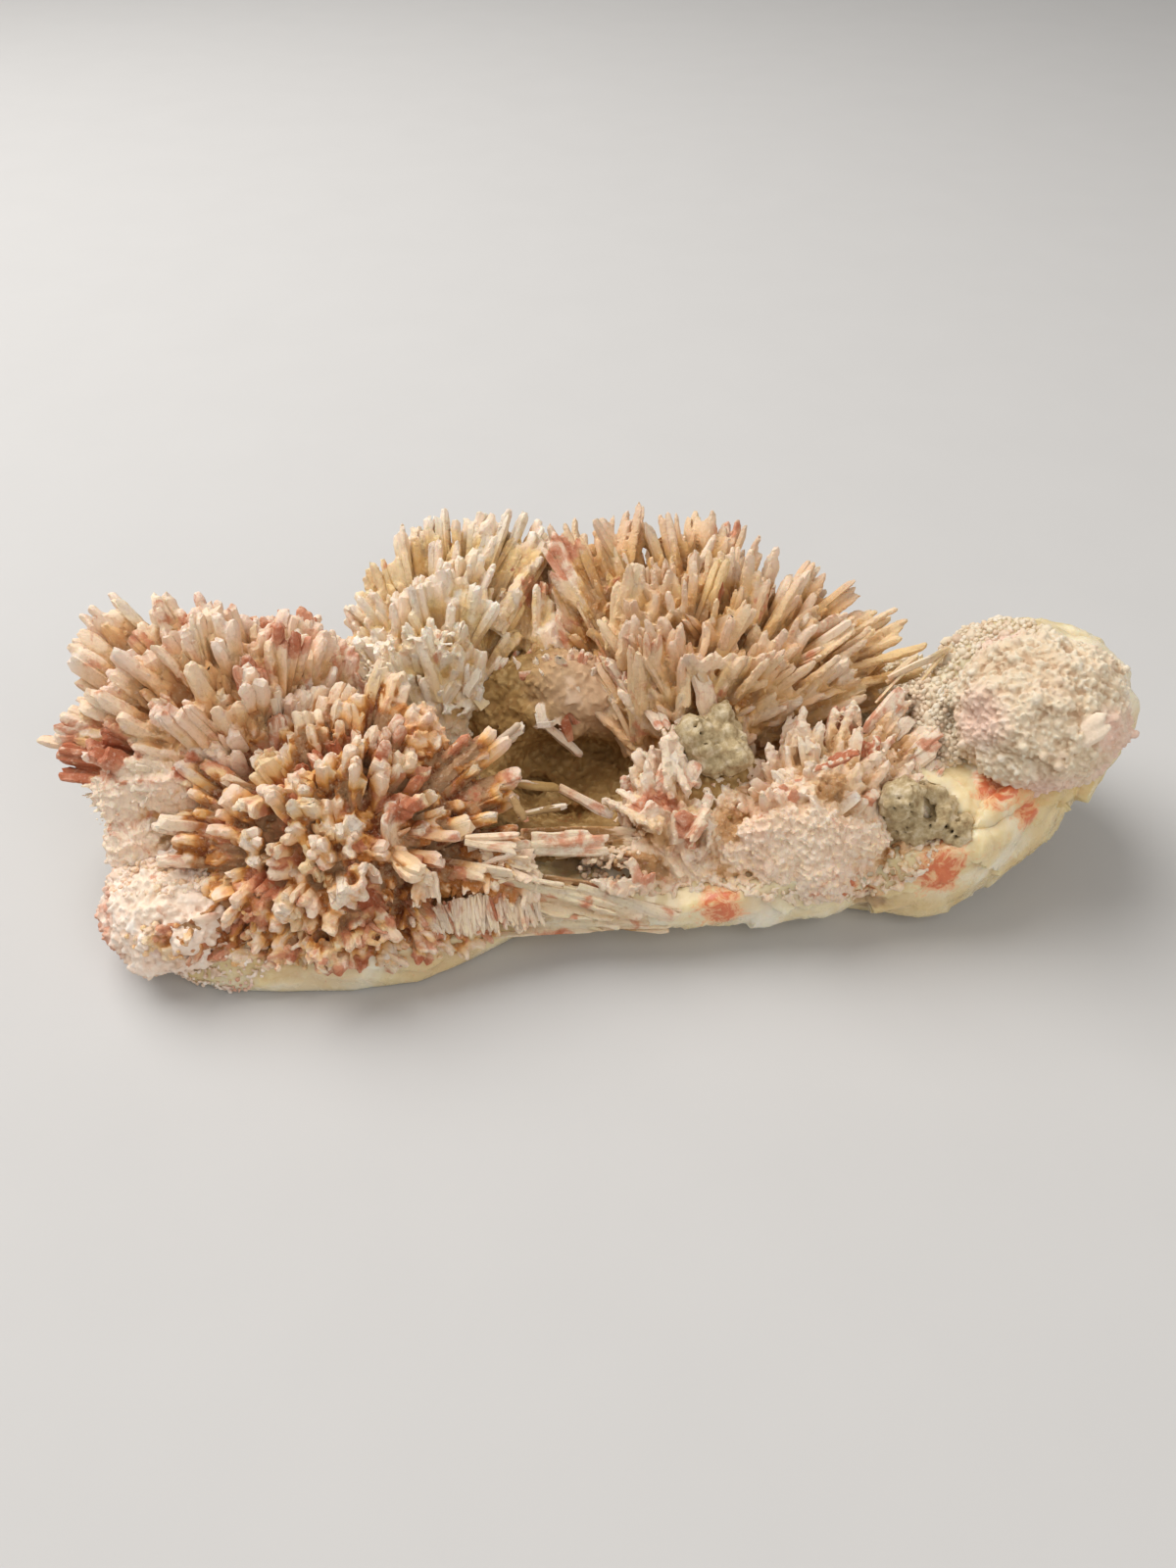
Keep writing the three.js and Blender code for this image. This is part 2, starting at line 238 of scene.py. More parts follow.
def ball_of(detail):
    """The points and the triangles of a ball of radius 1."""
    ball = bmesh.new()
    bmesh.ops.create_icosphere(ball, subdivisions=detail, radius=1.0)
    points = np.array([v.co for v in ball.verts])
    faces = np.array([[v.index for v in f.verts] for f in ball.faces])
    ball.free()
    return points, faces


def mesh_of(name, points, faces):
    mesh = bpy.data.meshes.new(name)
    mesh.from_pydata(points.tolist(), [], faces)
    return mesh


def shown(name, data):
    """A new object in the scene."""
    obj = bpy.data.objects.new(name, data)
    bpy.context.scene.collection.objects.link(obj)
    return obj


class Soup:
    """Closed meshes that become one piece, with the marks that its material reads at each point."""

    def __init__(self):
        self.points, self.blocks, self.faces, self.marks, self.grain = [], [], [], [], []
        self.count = 0

    def add(self, points, faces, grain=None, **marks):
        """Adds points and their faces, which are arrays of one face length each. "grain" holds the
        place along, across and among the laths, for the lines on them."""
        n = len(points)
        self.points.append(points)
        self.blocks.append(faces)
        self.faces.extend((np.asarray(f) + self.count for f in faces))
        columns = [np.broadcast_to(np.asarray(marks.get(m, 0.0), float), (n,)) for m in MARKS]
        self.marks.append(np.stack(columns, axis=1))
        self.grain.append(points / MM if grain is None else grain)
        self.count += n

    def faces_of(self, block):
        return [row for part in self.blocks[block] for row in part.tolist()]

    def piece(self, name, node, slot, material, sharp=25):
        points = np.clip(np.concatenate(self.points), LOW, HIGH)
        points[:, 2] = np.maximum(points[:, 2], LOW[2] + FLOOR_CLEARANCE)
        mesh = mesh_of(name, points, [row for block in self.faces for row in block.tolist()])
        marks = np.concatenate(self.marks)
        for i, mark in enumerate(MARKS):
            mesh.attributes.new(mark, "FLOAT", "POINT").data.foreach_set("value", marks[:, i].copy())
        grain = np.concatenate(self.grain).ravel()
        mesh.attributes.new("grain", "FLOAT_VECTOR", "POINT").data.foreach_set("vector", grain)
        mesh.materials.append(material)
        mesh.shade_smooth()
        mesh.set_sharp_from_angle(angle=math.radians(sharp))
        obj = shown(name, mesh)
        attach(obj, "root")
        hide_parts(node)


# ---- laths ---------------------------------------------------------------------------------------

# A lath's section, in half widths and half thicknesses, and its stations: the share of the length up
# to the head, then the distance back from the tip in widths. Heads are blunt, pointed or between.
SECTION = np.array([(1, 0), (0.62, 1), (-0.62, 1), (-1, 0), (-0.62, -1), (0.62, -1)])
SHAFT = [(0.0, 0.75, 0.9), (0.6, 0.95, 1.0)]
HEAD = [(1.5, (1.0, 1.0), (0.92, 0.96)), (0.65, (1.0, 0.97), (0.7, 0.8)),
        (0.2, (0.92, 0.8), (0.4, 0.5)), (0.0, (0.7, 0.5), (0.14, 0.2))]
RAGGED = [0, 0, 0, 0.06, 0.11, 0.13]  # how far the corners stray along the lath, in widths
BEND = 0.025  # how far a tip strays sideways, in lengths
SLANT = 0.45  # the steepest slope of a head's end


def laths(soup, rows, rng, zone=12):
    """Adds one lath for each row: its root, tip, sideways direction, where it leaves the mass, its
    width, thickness, how pointed it is, and its marks. The mark "along" rises to the tip over the
    zone, in millimetres."""
    root, tip, across, start, width, thick, point, *marks = (np.array(c) for c in zip(*rows))
    n = len(root)
    aim = tip - root
    length = np.linalg.norm(aim, axis=1)
    aim = aim / length[:, None]
    across = unit(across - aim * np.sum(across * aim, axis=1, keepdims=True))
    through = np.cross(across, aim)
    begin = length * start
    along = [begin + np.maximum(length - 1.6 * width - begin, 0) * at for at, _, _ in SHAFT]
    along += [length - back * width for back, _, _ in HEAD]
    wide = [np.full(n, w) for _, w, _ in SHAFT]
    wide += [blunt[0] * (1 - point) + sharp[0] * point for _, blunt, sharp in HEAD]
    deep = [np.full(n, t) for _, _, t in SHAFT]
    deep += [blunt[1] * (1 - point) + sharp[1] * point for _, blunt, sharp in HEAD]
    slope = rng.uniform(-SLANT, SLANT, n)
    curve = rng.normal(0, BEND, (n, 2))
    stations = len(along)
    loose = rng.uniform(0.82, 1.12, (n, stations, 2))
    odd = rng.uniform(0.72, 1.2, (n, len(SECTION)))
    rings = []
    for k in range(stations):
        tipness = max(0.0, (k - len(SHAFT) + 1) / len(HEAD))
        u = odd * SECTION[None, :, 0] * (width * wide[k] / 2 * loose[:, k, 0])[:, None]
        v = odd * SECTION[None, :, 1] * (thick * deep[k] / 2 * loose[:, k, 1])[:, None]
        s = along[k][:, None] + tipness * slope[:, None] * u
        s = s - tipness * np.abs(slope)[:, None] * width[:, None] / 2
        sag = (along[k] / length) ** 2 * length
        p = (root[:, None] + aim[:, None] * s[..., None]
             + across[:, None] * (u + (sag * curve[:, 0])[:, None])[..., None]
             + through[:, None] * (v + (sag * curve[:, 1])[:, None])[..., None])
        rings.append((p, s, u))
    points = np.stack([p for p, _, _ in rings], axis=1)
    stray = rng.normal(0, 1, points.shape[:3]) * np.array(RAGGED)[None, :, None] * width[:, None, None]
    points += stray[..., None] * aim[:, None, None]
    points += rng.normal(0, 0.04, (n, stations, 1, 3)) * width[:, None, None, None]
    middle = points.mean(axis=2)
    crown = middle[:, -1] + aim * (0.06 * width)[:, None]
    ring = SECTION.shape[0]
    flat = np.concatenate([points.reshape(n, -1, 3), middle[:, :1], crown[:, None]], axis=1)
    each = flat.shape[1]
    quads = [(k * ring + j, k * ring + (j + 1) % ring, (k + 1) * ring + (j + 1) % ring,
              (k + 1) * ring + j) for k in range(stations - 1) for j in range(ring)]
    caps = [((j + 1) % ring, j, each - 2) for j in range(ring)]
    top = (stations - 1) * ring
    caps += [(top + j, top + (j + 1) % ring, each - 1) for j in range(ring)]
    base = (np.arange(n) * each)[:, None, None]
    faces = [(np.array(quads)[None] + base).reshape(-1, 4), (np.array(caps)[None] + base).reshape(-1, 3)]
    s = np.stack([np.broadcast_to(s, (n, ring)) for _, s, _ in rings], axis=1).reshape(n, -1)
    u = np.stack([u for _, _, u in rings], axis=1).reshape(n, -1)
    s = np.concatenate([s, s[:, :1], length[:, None]], axis=1)
    u = np.concatenate([u, np.zeros((n, 2))], axis=1)
    grain = np.stack([u / MM, s / MM, np.broadcast_to(np.arange(n)[:, None] * 3.7, s.shape)], axis=2)
    names = ("tint", "white", "mustard", "red")
    spread = {name: np.repeat(value, each) for name, value in zip(names, marks)}
    spread["along"] = 1 - np.clip((length[:, None] - s) / (zone * MM), 0, 1).ravel()
    soup.add(flat.reshape(-1, 3), faces, grain.reshape(-1, 3), **spread)


def split(root, tip, across, width, thick, point, marks, start, rng, pitch=1.2, ragged=0.9,
          taper=0.45):
    """The narrow laths that lie side by side in one blade, with a stepped tip. The pitch is a lath's
    width and ragged is how uneven their ends are, in millimetres. The taper is the foot's width, as
    a share of the blade's."""
    count = max(1, round(width / (pitch * MM) + rng.uniform(-0.4, 0.4)))
    aim = unit(tip - root)
    length = np.linalg.norm(tip - root)
    through = unit(np.cross(across, aim))
    peak = rng.uniform(-0.4, 0.4)
    rows = []
    for i in range(count):
        side = (i - (count - 1) / 2) / count
        step = abs(rng.normal(0, ragged)) + (rng.random() < 0.18) * rng.uniform(1, 3)
        step = min(step * MM + (0.25 + 0.8 * point) * abs(side - peak) * width, 0.3 * length)
        offset = across * side * width + through * rng.normal(0, 0.3) * thick
        rows.append((root + offset * taper, tip + offset * rng.uniform(0.95, 1.2) - aim * step,
                     across + through * rng.normal(0, 0.2), start, width / count * rng.uniform(1.1, 1.6),
                     thick * rng.uniform(0.7, 1.15), np.clip(point + rng.normal(0, 0.2), 0, 1),
                     np.clip(marks[0] + rng.normal(0, 0.12), 0, 1), *marks[1:]))
    return rows


def turned(aim, roll):
    """A blade's sideways direction: square to the view, then rolled about the blade."""
    facing = TOWARDS if abs(np.dot(aim, TOWARDS)) < 0.85 else UPWARD
    across = unit(np.cross(aim, facing))
    return across * math.cos(roll) + np.cross(aim, across) * math.sin(roll)


def directions(count, rng):
    """Directions spread evenly over a sphere, each moved a little."""
    i = np.arange(count) + 0.5
    z = 1 - 2 * i / count
    turn = i * math.pi * (3 - math.sqrt(5))
    flat = np.sqrt(1 - z * z)
    even = np.stack([flat * np.cos(turn), flat * np.sin(turn), z], axis=1)
    return unit(even + rng.normal(0, 0.6 / math.sqrt(count), even.shape))


# ---- masses --------------------------------------------------------------------------------------

def modified(mesh, steps):
    """A copy of a mesh after some modifiers: its points, faces and outward directions. Each step is
    a kind of modifier and its settings."""
    mesh = mesh.copy()
    holder = shown("holder", mesh)
    for kind, settings in steps:
        step = holder.modifiers.new(kind, kind)
        for name, value in settings.items():
            setattr(step, name, value)
    made = holder.evaluated_get(bpy.context.evaluated_depsgraph_get()).to_mesh()
    points = np.empty(len(made.vertices) * 3)
    normals = np.empty(len(made.vertices) * 3)
    made.vertices.foreach_get("co", points)
    made.vertex_normals.foreach_get("vector", normals)
    faces = [list(p.vertices) for p in made.polygons]
    bpy.data.objects.remove(holder)
    bpy.data.meshes.remove(mesh)
    return points.reshape(-1, 3), faces, normals.reshape(-1, 3)


def remeshed(mesh, voxel, relax=3, keep=1.0):
    """A mesh's shape as a fine even skin, with a share of its faces kept where it bends most."""
    steps = [("REMESH", {"mode": "VOXEL", "voxel_size": voxel}),
             ("SMOOTH", {"factor": 0.5, "iterations": relax})]
    if keep < 1:
        steps.append(("DECIMATE", {"ratio": keep}))
    return modified(mesh, steps)


def thinned(points, faces, keep):
    """A surface with a share of its faces, kept where it bends most: its points and faces."""
    mesh = mesh_of("full", points, faces)
    points, faces, _ = modified(mesh, [("DECIMATE", {"ratio": keep})])
    bpy.data.meshes.remove(mesh)
    return points, faces


def fused(soup, voxel, relief, seed, keep=0.5):
    """A soup's meshes grown together into one skin, with the marks of whichever was nearest."""
    points, marks, grain = (np.concatenate(c) for c in (soup.points, soup.marks, soup.grain))
    fans = [f[:, (0, k, k + 1)] for f in soup.faces for k in range(1, f.shape[1] - 1)]
    triangles = np.concatenate(fans)
    mesh = mesh_of("grown", points, triangles.tolist())
    skin, quads, normals = remeshed(mesh, voxel, 0, keep)
    bpy.data.meshes.remove(mesh)
    tree = BVHTree.FromPolygons(points.tolist(), triangles.tolist())
    found = [tree.find_nearest(p) for p in skin.tolist()]
    at, face = np.array([f[0] for f in found]), triangles[[f[2] for f in found]]
    a, b, c = (points[face[:, k]] for k in range(3))
    across = np.cross(b - a, c - a)
    area = np.maximum(np.sum(across * across, axis=1), 1e-24)
    near_a = np.sum(np.cross(b - at, c - at) * across, axis=1) / area
    near_b = np.sum(np.cross(c - at, a - at) * across, axis=1) / area
    shares = np.clip(np.stack([near_a, near_b, 1 - near_a - near_b], axis=1), 0, 1)
    marks = sum(shares[:, k, None] * marks[face[:, k]] for k in range(3))
    grain = sum(shares[:, k, None] * grain[face[:, k]] for k in range(3))
    skin = skin + (at - skin) * 0.9
    lift = rough(skin, 1.1 * MM, seed + 31) * (0.1 + 0.9 * (1 - marks[:, 0])) * relief * MM
    one = Soup()
    one.add(skin + normals * lift[:, None], as_faces(quads), grain)
    one.marks = [marks]
    return one


def level_round(points, root, reach, step):
    """The greatest reach round each point, among the points in nearly the same direction."""
    row = 1300  # more than there are cells across, which are 2 / step
    cells = np.floor((points - root) / reach[:, None] / step).astype(np.int64) + row // 2
    key = (cells[:, 0] * row + cells[:, 1]) * row + cells[:, 2]
    keys, which = np.unique(key, return_inverse=True)
    most = np.zeros(len(keys))
    np.maximum.at(most, which, reach)
    total, count = most[which].copy(), np.ones(len(points))
    for move in (1, -1, row, -row, row * row, -row * row):
        beside = np.minimum(np.searchsorted(keys, key + move), len(keys) - 1)
        is_there = keys[beside] == key + move
        total += np.where(is_there, most[beside], 0)
        count += is_there
    return total / count


# A root so far behind, in millimetres, that the display side is seen flat on, and its step.
BEHIND, FLAT_STEP = -1000, 0.0017


def shaded(soup, root, zone, step=0.085):
    """Paints shade: lowers "along", which the materials turn into painted shade, where places are sunk
    among their neighbours, as seen from the root, and most where they are a zone deep. A step is how
    far apart neighbours are, as a share of their distance from the root."""
    points = np.concatenate(soup.points)
    reach = np.linalg.norm(points - root, axis=1)
    stands_out = 1 - np.clip((level_round(points, root, reach, step) - reach) / zone, 0, 1)
    first = 0
    for marks in soup.marks:
        part = stands_out[first:first + len(marks)]
        marks[:, 0] = np.clip(part, 0.35 * marks[:, 0], 0.45 + 0.55 * marks[:, 0])
        first += len(marks)


def dented(points, ovals):
    """Points pushed back into the cluster, in ovals that each end with a depth in millimetres."""
    push = np.zeros(len(points))
    for *oval, depth in ovals:
        near = smooth(0.0, 0.35, depth_in(points, [oval]))
        push = push + near * depth * MM
    exposed = smooth(4 * MM, 9 * MM, points[:, 2])
    return points - TOWARDS * (push * exposed)[:, None]


def stain(soup, node, stains):
    """Raises the marks of a soup's points near stains and near patches of painted shade. For each kind
    of mark these are shares of a CAD node's box, each with a radius in millimetres."""
    for points, marks in zip(soup.points, soup.marks):
        for kind, places in stains.items():
            column = MARKS.index(kind)
            for *share, size in places:
                away = np.linalg.norm(points - place(node, share), axis=1)
                strength = 1 - smooth(0.3 * size * MM, size * MM, away)
                marks[:, column] = np.maximum(marks[:, column], strength)


SHAPES = {}  # the surfaces that are already made, by node


def shape_of(node):
    """The points and faces of a node's surface, as it is shown if that is made already."""
    if node in SHAPES:
        return SHAPES[node]
    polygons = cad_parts[node].data.polygons
    return dented(points_of(node), DENTS), [list(p.vertices) for p in polygons]


def as_faces(polygons):
    """Faces as arrays, the quads apart from the triangles."""
    by_size = {}
    for face in polygons:
        by_size.setdefault(len(face), []).append(face)
    return [np.array(faces) for faces in by_size.values()]


def scatter(points, polygons, spacing, rng, keep=None):
    """Places spread over a surface at least a spacing apart, with the way that the surface faces."""
    tri = np.array([(f[0], f[i], f[i + 1]) for f in polygons for i in range(1, len(f) - 1)])
    a, b, c = (points[tri[:, k]] for k in range(3))
    cross = np.cross(b - a, c - a)
    area = np.linalg.norm(cross, axis=1) / 2
    count = int(2.5 * area.sum() / spacing ** 2)
    chosen = rng.choice(len(tri), count, p=area / area.sum())
    r1, r2 = np.sqrt(rng.random((count, 1))), rng.random((count, 1))
    where = a[chosen] * (1 - r1) + b[chosen] * r1 * (1 - r2) + c[chosen] * r1 * r2
    facing = unit(cross[chosen] + 1e-15)
    if keep is not None:
        good = keep(where, facing)
        where, facing = where[good], facing[good]
    cells, kept = {}, []
    for i, key in enumerate(map(tuple, np.floor(where / spacing).astype(int))):
        near = (cells.get((key[0] + x, key[1] + y, key[2] + z))
                for x in (-1, 0, 1) for y in (-1, 0, 1) for z in (-1, 0, 1))
        if all(j is None or np.sum((where[j] - where[i]) ** 2) > spacing ** 2 for j in near):
            cells[key] = i
            kept.append(i)
    return where[kept], facing[kept]


def grains(soup, where, facing, size, rng, detail, marks, seat=0.35, squash=(0.7, 1.25)):
    """Adds one knobbly grain at each place. Marks that aren't given are drawn by chance."""
    shape, faces = ball_of(detail)
    n, each = len(where), len(shape)
    size = rng.uniform(*size, n) * MM
    axes = np.linalg.qr(rng.normal(size=(n, 3, 3)))[0]
    stretch = rng.uniform(*squash, (n, 1, 3))
    knobs = shape[None] * (1 + rng.normal(0, 0.1 if detail < 3 else 0.04, (n, each, 1)))
    points = np.einsum("nij,nkj->nki", axes, knobs * stretch) * size[:, None, None]
    points = points + (where + facing * (size * seat)[:, None])[:, None]
    base = (np.arange(n) * each)[:, None, None]
    marks = {k: np.repeat(np.broadcast_to(v, (n,)), each) for k, v in marks.items()}
    marks.setdefault("tint", np.repeat(rng.random(n), each))
    marks.setdefault("along", np.repeat(rng.uniform(0.6, 1.0, n), each))
    soup.add(points.reshape(-1, 3), [(faces[None] + base).reshape(-1, 3)], **marks)


def grain_marks(n, along, rng):
    """Each grain's "along", from the gaps' painted shade up to unshaded, in a range, and its tint."""
    return {"along": rng.uniform(*along, n), "tint": rng.random(n)}


# ---- additions to the masses ---------------------------------------------------------------------

def places_on(nodes, ovals, spacing, rng, facing_least=-0.1):
    """Places over the nodes' surfaces inside ovals on the display side."""
    found = []
    for node in nodes:
        points, polygons = shape_of(node)
        found.append(scatter(points, polygons, spacing * MM, rng,
                             lambda p, n: within(p, ovals) & (n @ TOWARDS > facing_least)))
    return np.concatenate([f[0] for f in found]), np.concatenate([f[1] for f in found])


def blade_marks(stains, rng):
    """A blade's shade, then how white, yellow and red it is, up to the given stains."""
    return (rng.random(), *(most * rng.random() for most in stains))


def addition(build):
    """Takes a builder's settings first, and the soup and the chance when it is built."""
    return lambda *settings, **named: lambda soup, rng: build(soup, rng, *settings, **named)


@addition
def cover(soup, rng, nodes, ovals, spacing, length, width, thick, point, lift, flow, stains,
          zone=14):
    """Short blades over the surfaces inside ovals, lying along the flow and lifted off it."""
    rows = []
    for at, out in zip(*places_on(nodes, ovals, spacing, rng)):
        aim = unit(unit(flow(at)) * (1 - lift) + out * lift + rng.normal(0, 0.14, 3))
        reach = rng.uniform(*length) * MM
        across = np.cross(out, aim) if rng.random() < 0.8 else out
        marks = blade_marks(stains, rng)
        root = at - aim * reach * 0.45 - out * 0.3 * MM
        tip = at + aim * reach * 0.55 + out * 0.3 * MM
        rows += split(root, tip, unit(across + rng.normal(0, 0.25, 3)), rng.uniform(*width) * MM,
                      rng.uniform(0.7, 1.2) * thick * MM, point, marks, 0.0, rng)
    if rows:
        laths(soup, rows, rng, zone=zone)


@addition
def dust(soup, rng, nodes, ovals, spacing, size, seat=0.3, along=(0.5, 0.95), least=-0.3):
    """Grains over the surfaces inside ovals, where they face the display side at least so much."""
    where, facing = places_on(nodes, ovals, spacing, rng, least)
    marks = grain_marks(len(where), along, rng)
    grains(soup, where, facing, size, rng, seat=seat, detail=1, marks=marks)


@addition
def lumps(soup, rng, places, along=(0.5, 0.9), coat=None):
    """Rough rounded masses, each at a place on the display side with its depth and its radius, and
    coated with grains of the given spacing and sizes."""
    for x, h, deep, radius in places:
        marks = {"along": rng.uniform(*along), "tint": 0.5}
        grains(soup, at_front(x, h, deep)[None], np.zeros((1, 3)), (radius, radius), rng, detail=4,
               squash=(0.85, 1.15), marks=marks)
        if coat:
            where, facing = scatter(soup.points[-1], soup.faces_of(-1), coat[0] * MM, rng,
                                    lambda p, n: n @ TOWARDS > -0.2)
            marks = grain_marks(len(where), (0.6, 1.0), rng)
            grains(soup, where, facing, coat[1], rng, seat=0.3, detail=1, marks=marks)


@addition
def fan(soup, rng, root, xs, hs, deeps, count, width, thick, point, stains=(0, 0, 0), zone=12):
    """Blades from about one root to tips that are spread over ranges of width, height and depth."""
    foot = at_front(*root)
    rows = []
    for _ in range(count):
        tip = at_front(rng.uniform(*xs), rng.uniform(*hs), rng.uniform(*deeps))
        base = foot + rng.normal(0, 2, 3) * MM
        marks = blade_marks(stains, rng)
        across = turned(unit(tip - base), rng.normal(0, 0.8))
        rows += split(base, tip, across, rng.uniform(*width) * MM, thick * rng.uniform(0.7, 1.2) * MM,
                      point, marks, 0.2, rng)
    laths(soup, rows, rng, zone=zone)


@addition
def fringe(soup, rng, tops, feet, count):
    """Fine pale fibres side by side, from one line down to another. Each line is three places."""
    rows = []
    for share in np.linspace(0, 2, count):
        ends = [at_front(*(np.interp(share, (0, 1, 2), values) for values in zip(*line)))
                for line in (tops, feet)]
        root, tip = (end + rng.normal(0, 0.25, 3) * MM for end in ends)
        tip = root + (tip - root) * rng.uniform(0.6, 1.12) + RIGHT * rng.normal(0, 0.5) * MM
        across = turned(unit(tip - root), rng.normal(0, 0.5))
        size = rng.uniform(0.4, 0.9) * MM, rng.uniform(0.4, 0.7) * MM
        marks = rng.uniform(0.7, 1), rng.uniform(0, 0.3), 0.0, 0.6 * (rng.random() < 0.06)
        rows.append((root, tip, across, 0.0, *size, 0.7, *marks))
    laths(soup, rows, rng, zone=60)


@addition
def shards(soup, rng, places):
    """Single broken plates: root and tip on the display side, each with its depth, then the width
    and the thickness in millimetres, and how white and how red each is."""
    rows = []
    for low, high, wide, thick, white, red in places:
        root, tip = at_front(*low), at_front(*high)
        across = turned(unit(tip - root), rng.normal(0, 0.25))
        rows += split(root, tip, across, wide * MM, thick * MM, 0.35, (0.5, white, 0.0, red), 0.0, rng,
                      pitch=2.2, ragged=0.5, taper=0.8)
    laths(soup, rows, rng, zone=30)


def fibres(soup, rng, where, facing, flow):
    """Fine pale fibres on the places that are given, leaning along the flow."""
    rows = []
    for at, out in zip(where, facing):
        aim = unit(unit(flow(at)) * 0.55 + out * 0.6 + rng.normal(0, 0.2, 3))
        reach = rng.uniform(1.2, 3.0) * MM
        across = unit(np.cross(aim, out) + rng.normal(0, 0.5, 3))
        width = rng.uniform(0.35, 0.8) * MM
        marks = (rng.random(), rng.uniform(0.3, 1) * 0.8, 0.0, 0.5 * (rng.random() < 0.1))
        rows += split(at - out * 0.4 * MM, at + aim * reach, across, width, 0.4 * MM, 0.8, marks, 0.0,
                      rng, ragged=0.3)
    laths(soup, rows, rng, zone=20)


def away_from(x, h):
    """The flow away from a place on the display side."""
    centre = front(x, h)
    return lambda at: at - centre


def downward(at):
    return -UPWARD


def upward(at):
    return UPWARD


# ---- sprays --------------------------------------------------------------------------------------

def passes(row, tree, margin):
    """Whether a lath's row comes within a margin of a closed surface."""
    root, tip, _, start = row[:4]
    shares = np.linspace(start, 1, 7)
    return any(inside(tree, root + (tip - root) * share) > -margin for share in shares)


def core(soup, hull, root, share, seed, bald, fill):
    """The sandy mass that a spray's blades stand in, filled out further where it is bald."""
    aims, faces = ball_of(5)
    reach = np.array([reach_of(hull, root, aim) for aim in aims])
    bare = smooth(-0.45, 0.3, depth_in(root + aims * reach[:, None], bald))
    radius = np.maximum(reach * (share + (fill - share) * bare), 3 * MM)
    points = root + aims * radius[:, None]
    lift = rough(points, 5 * MM, seed) * 1.2 + rough(points, 1.6 * MM, seed + 5) * 0.35
    points = points + aims * (lift * MM)[:, None]
    # The core is low in "along", so it takes the colours of the gaps: partly sand and partly painted
    # shade. It is lighter where it is bald.
    along = 0.34 + 0.16 * rough(points, 2 * MM, seed + 9) + 0.4 * bare
    soup.add(points, [faces], along=along, tint=0.4)


GRAIN_HEIGHT = 4 * MM  # the grains on a spray's core and laths are all higher above the table
TIP_HEIGHT = 2 * MM  # the tips between the CAD's own are at least this high above it
CRUST_GAP = 0.5 * MM  # and at least this far out of the crust
CLEAR_GAP = 2 * MM  # laths that come nearer than this to a node that is left clear are left out


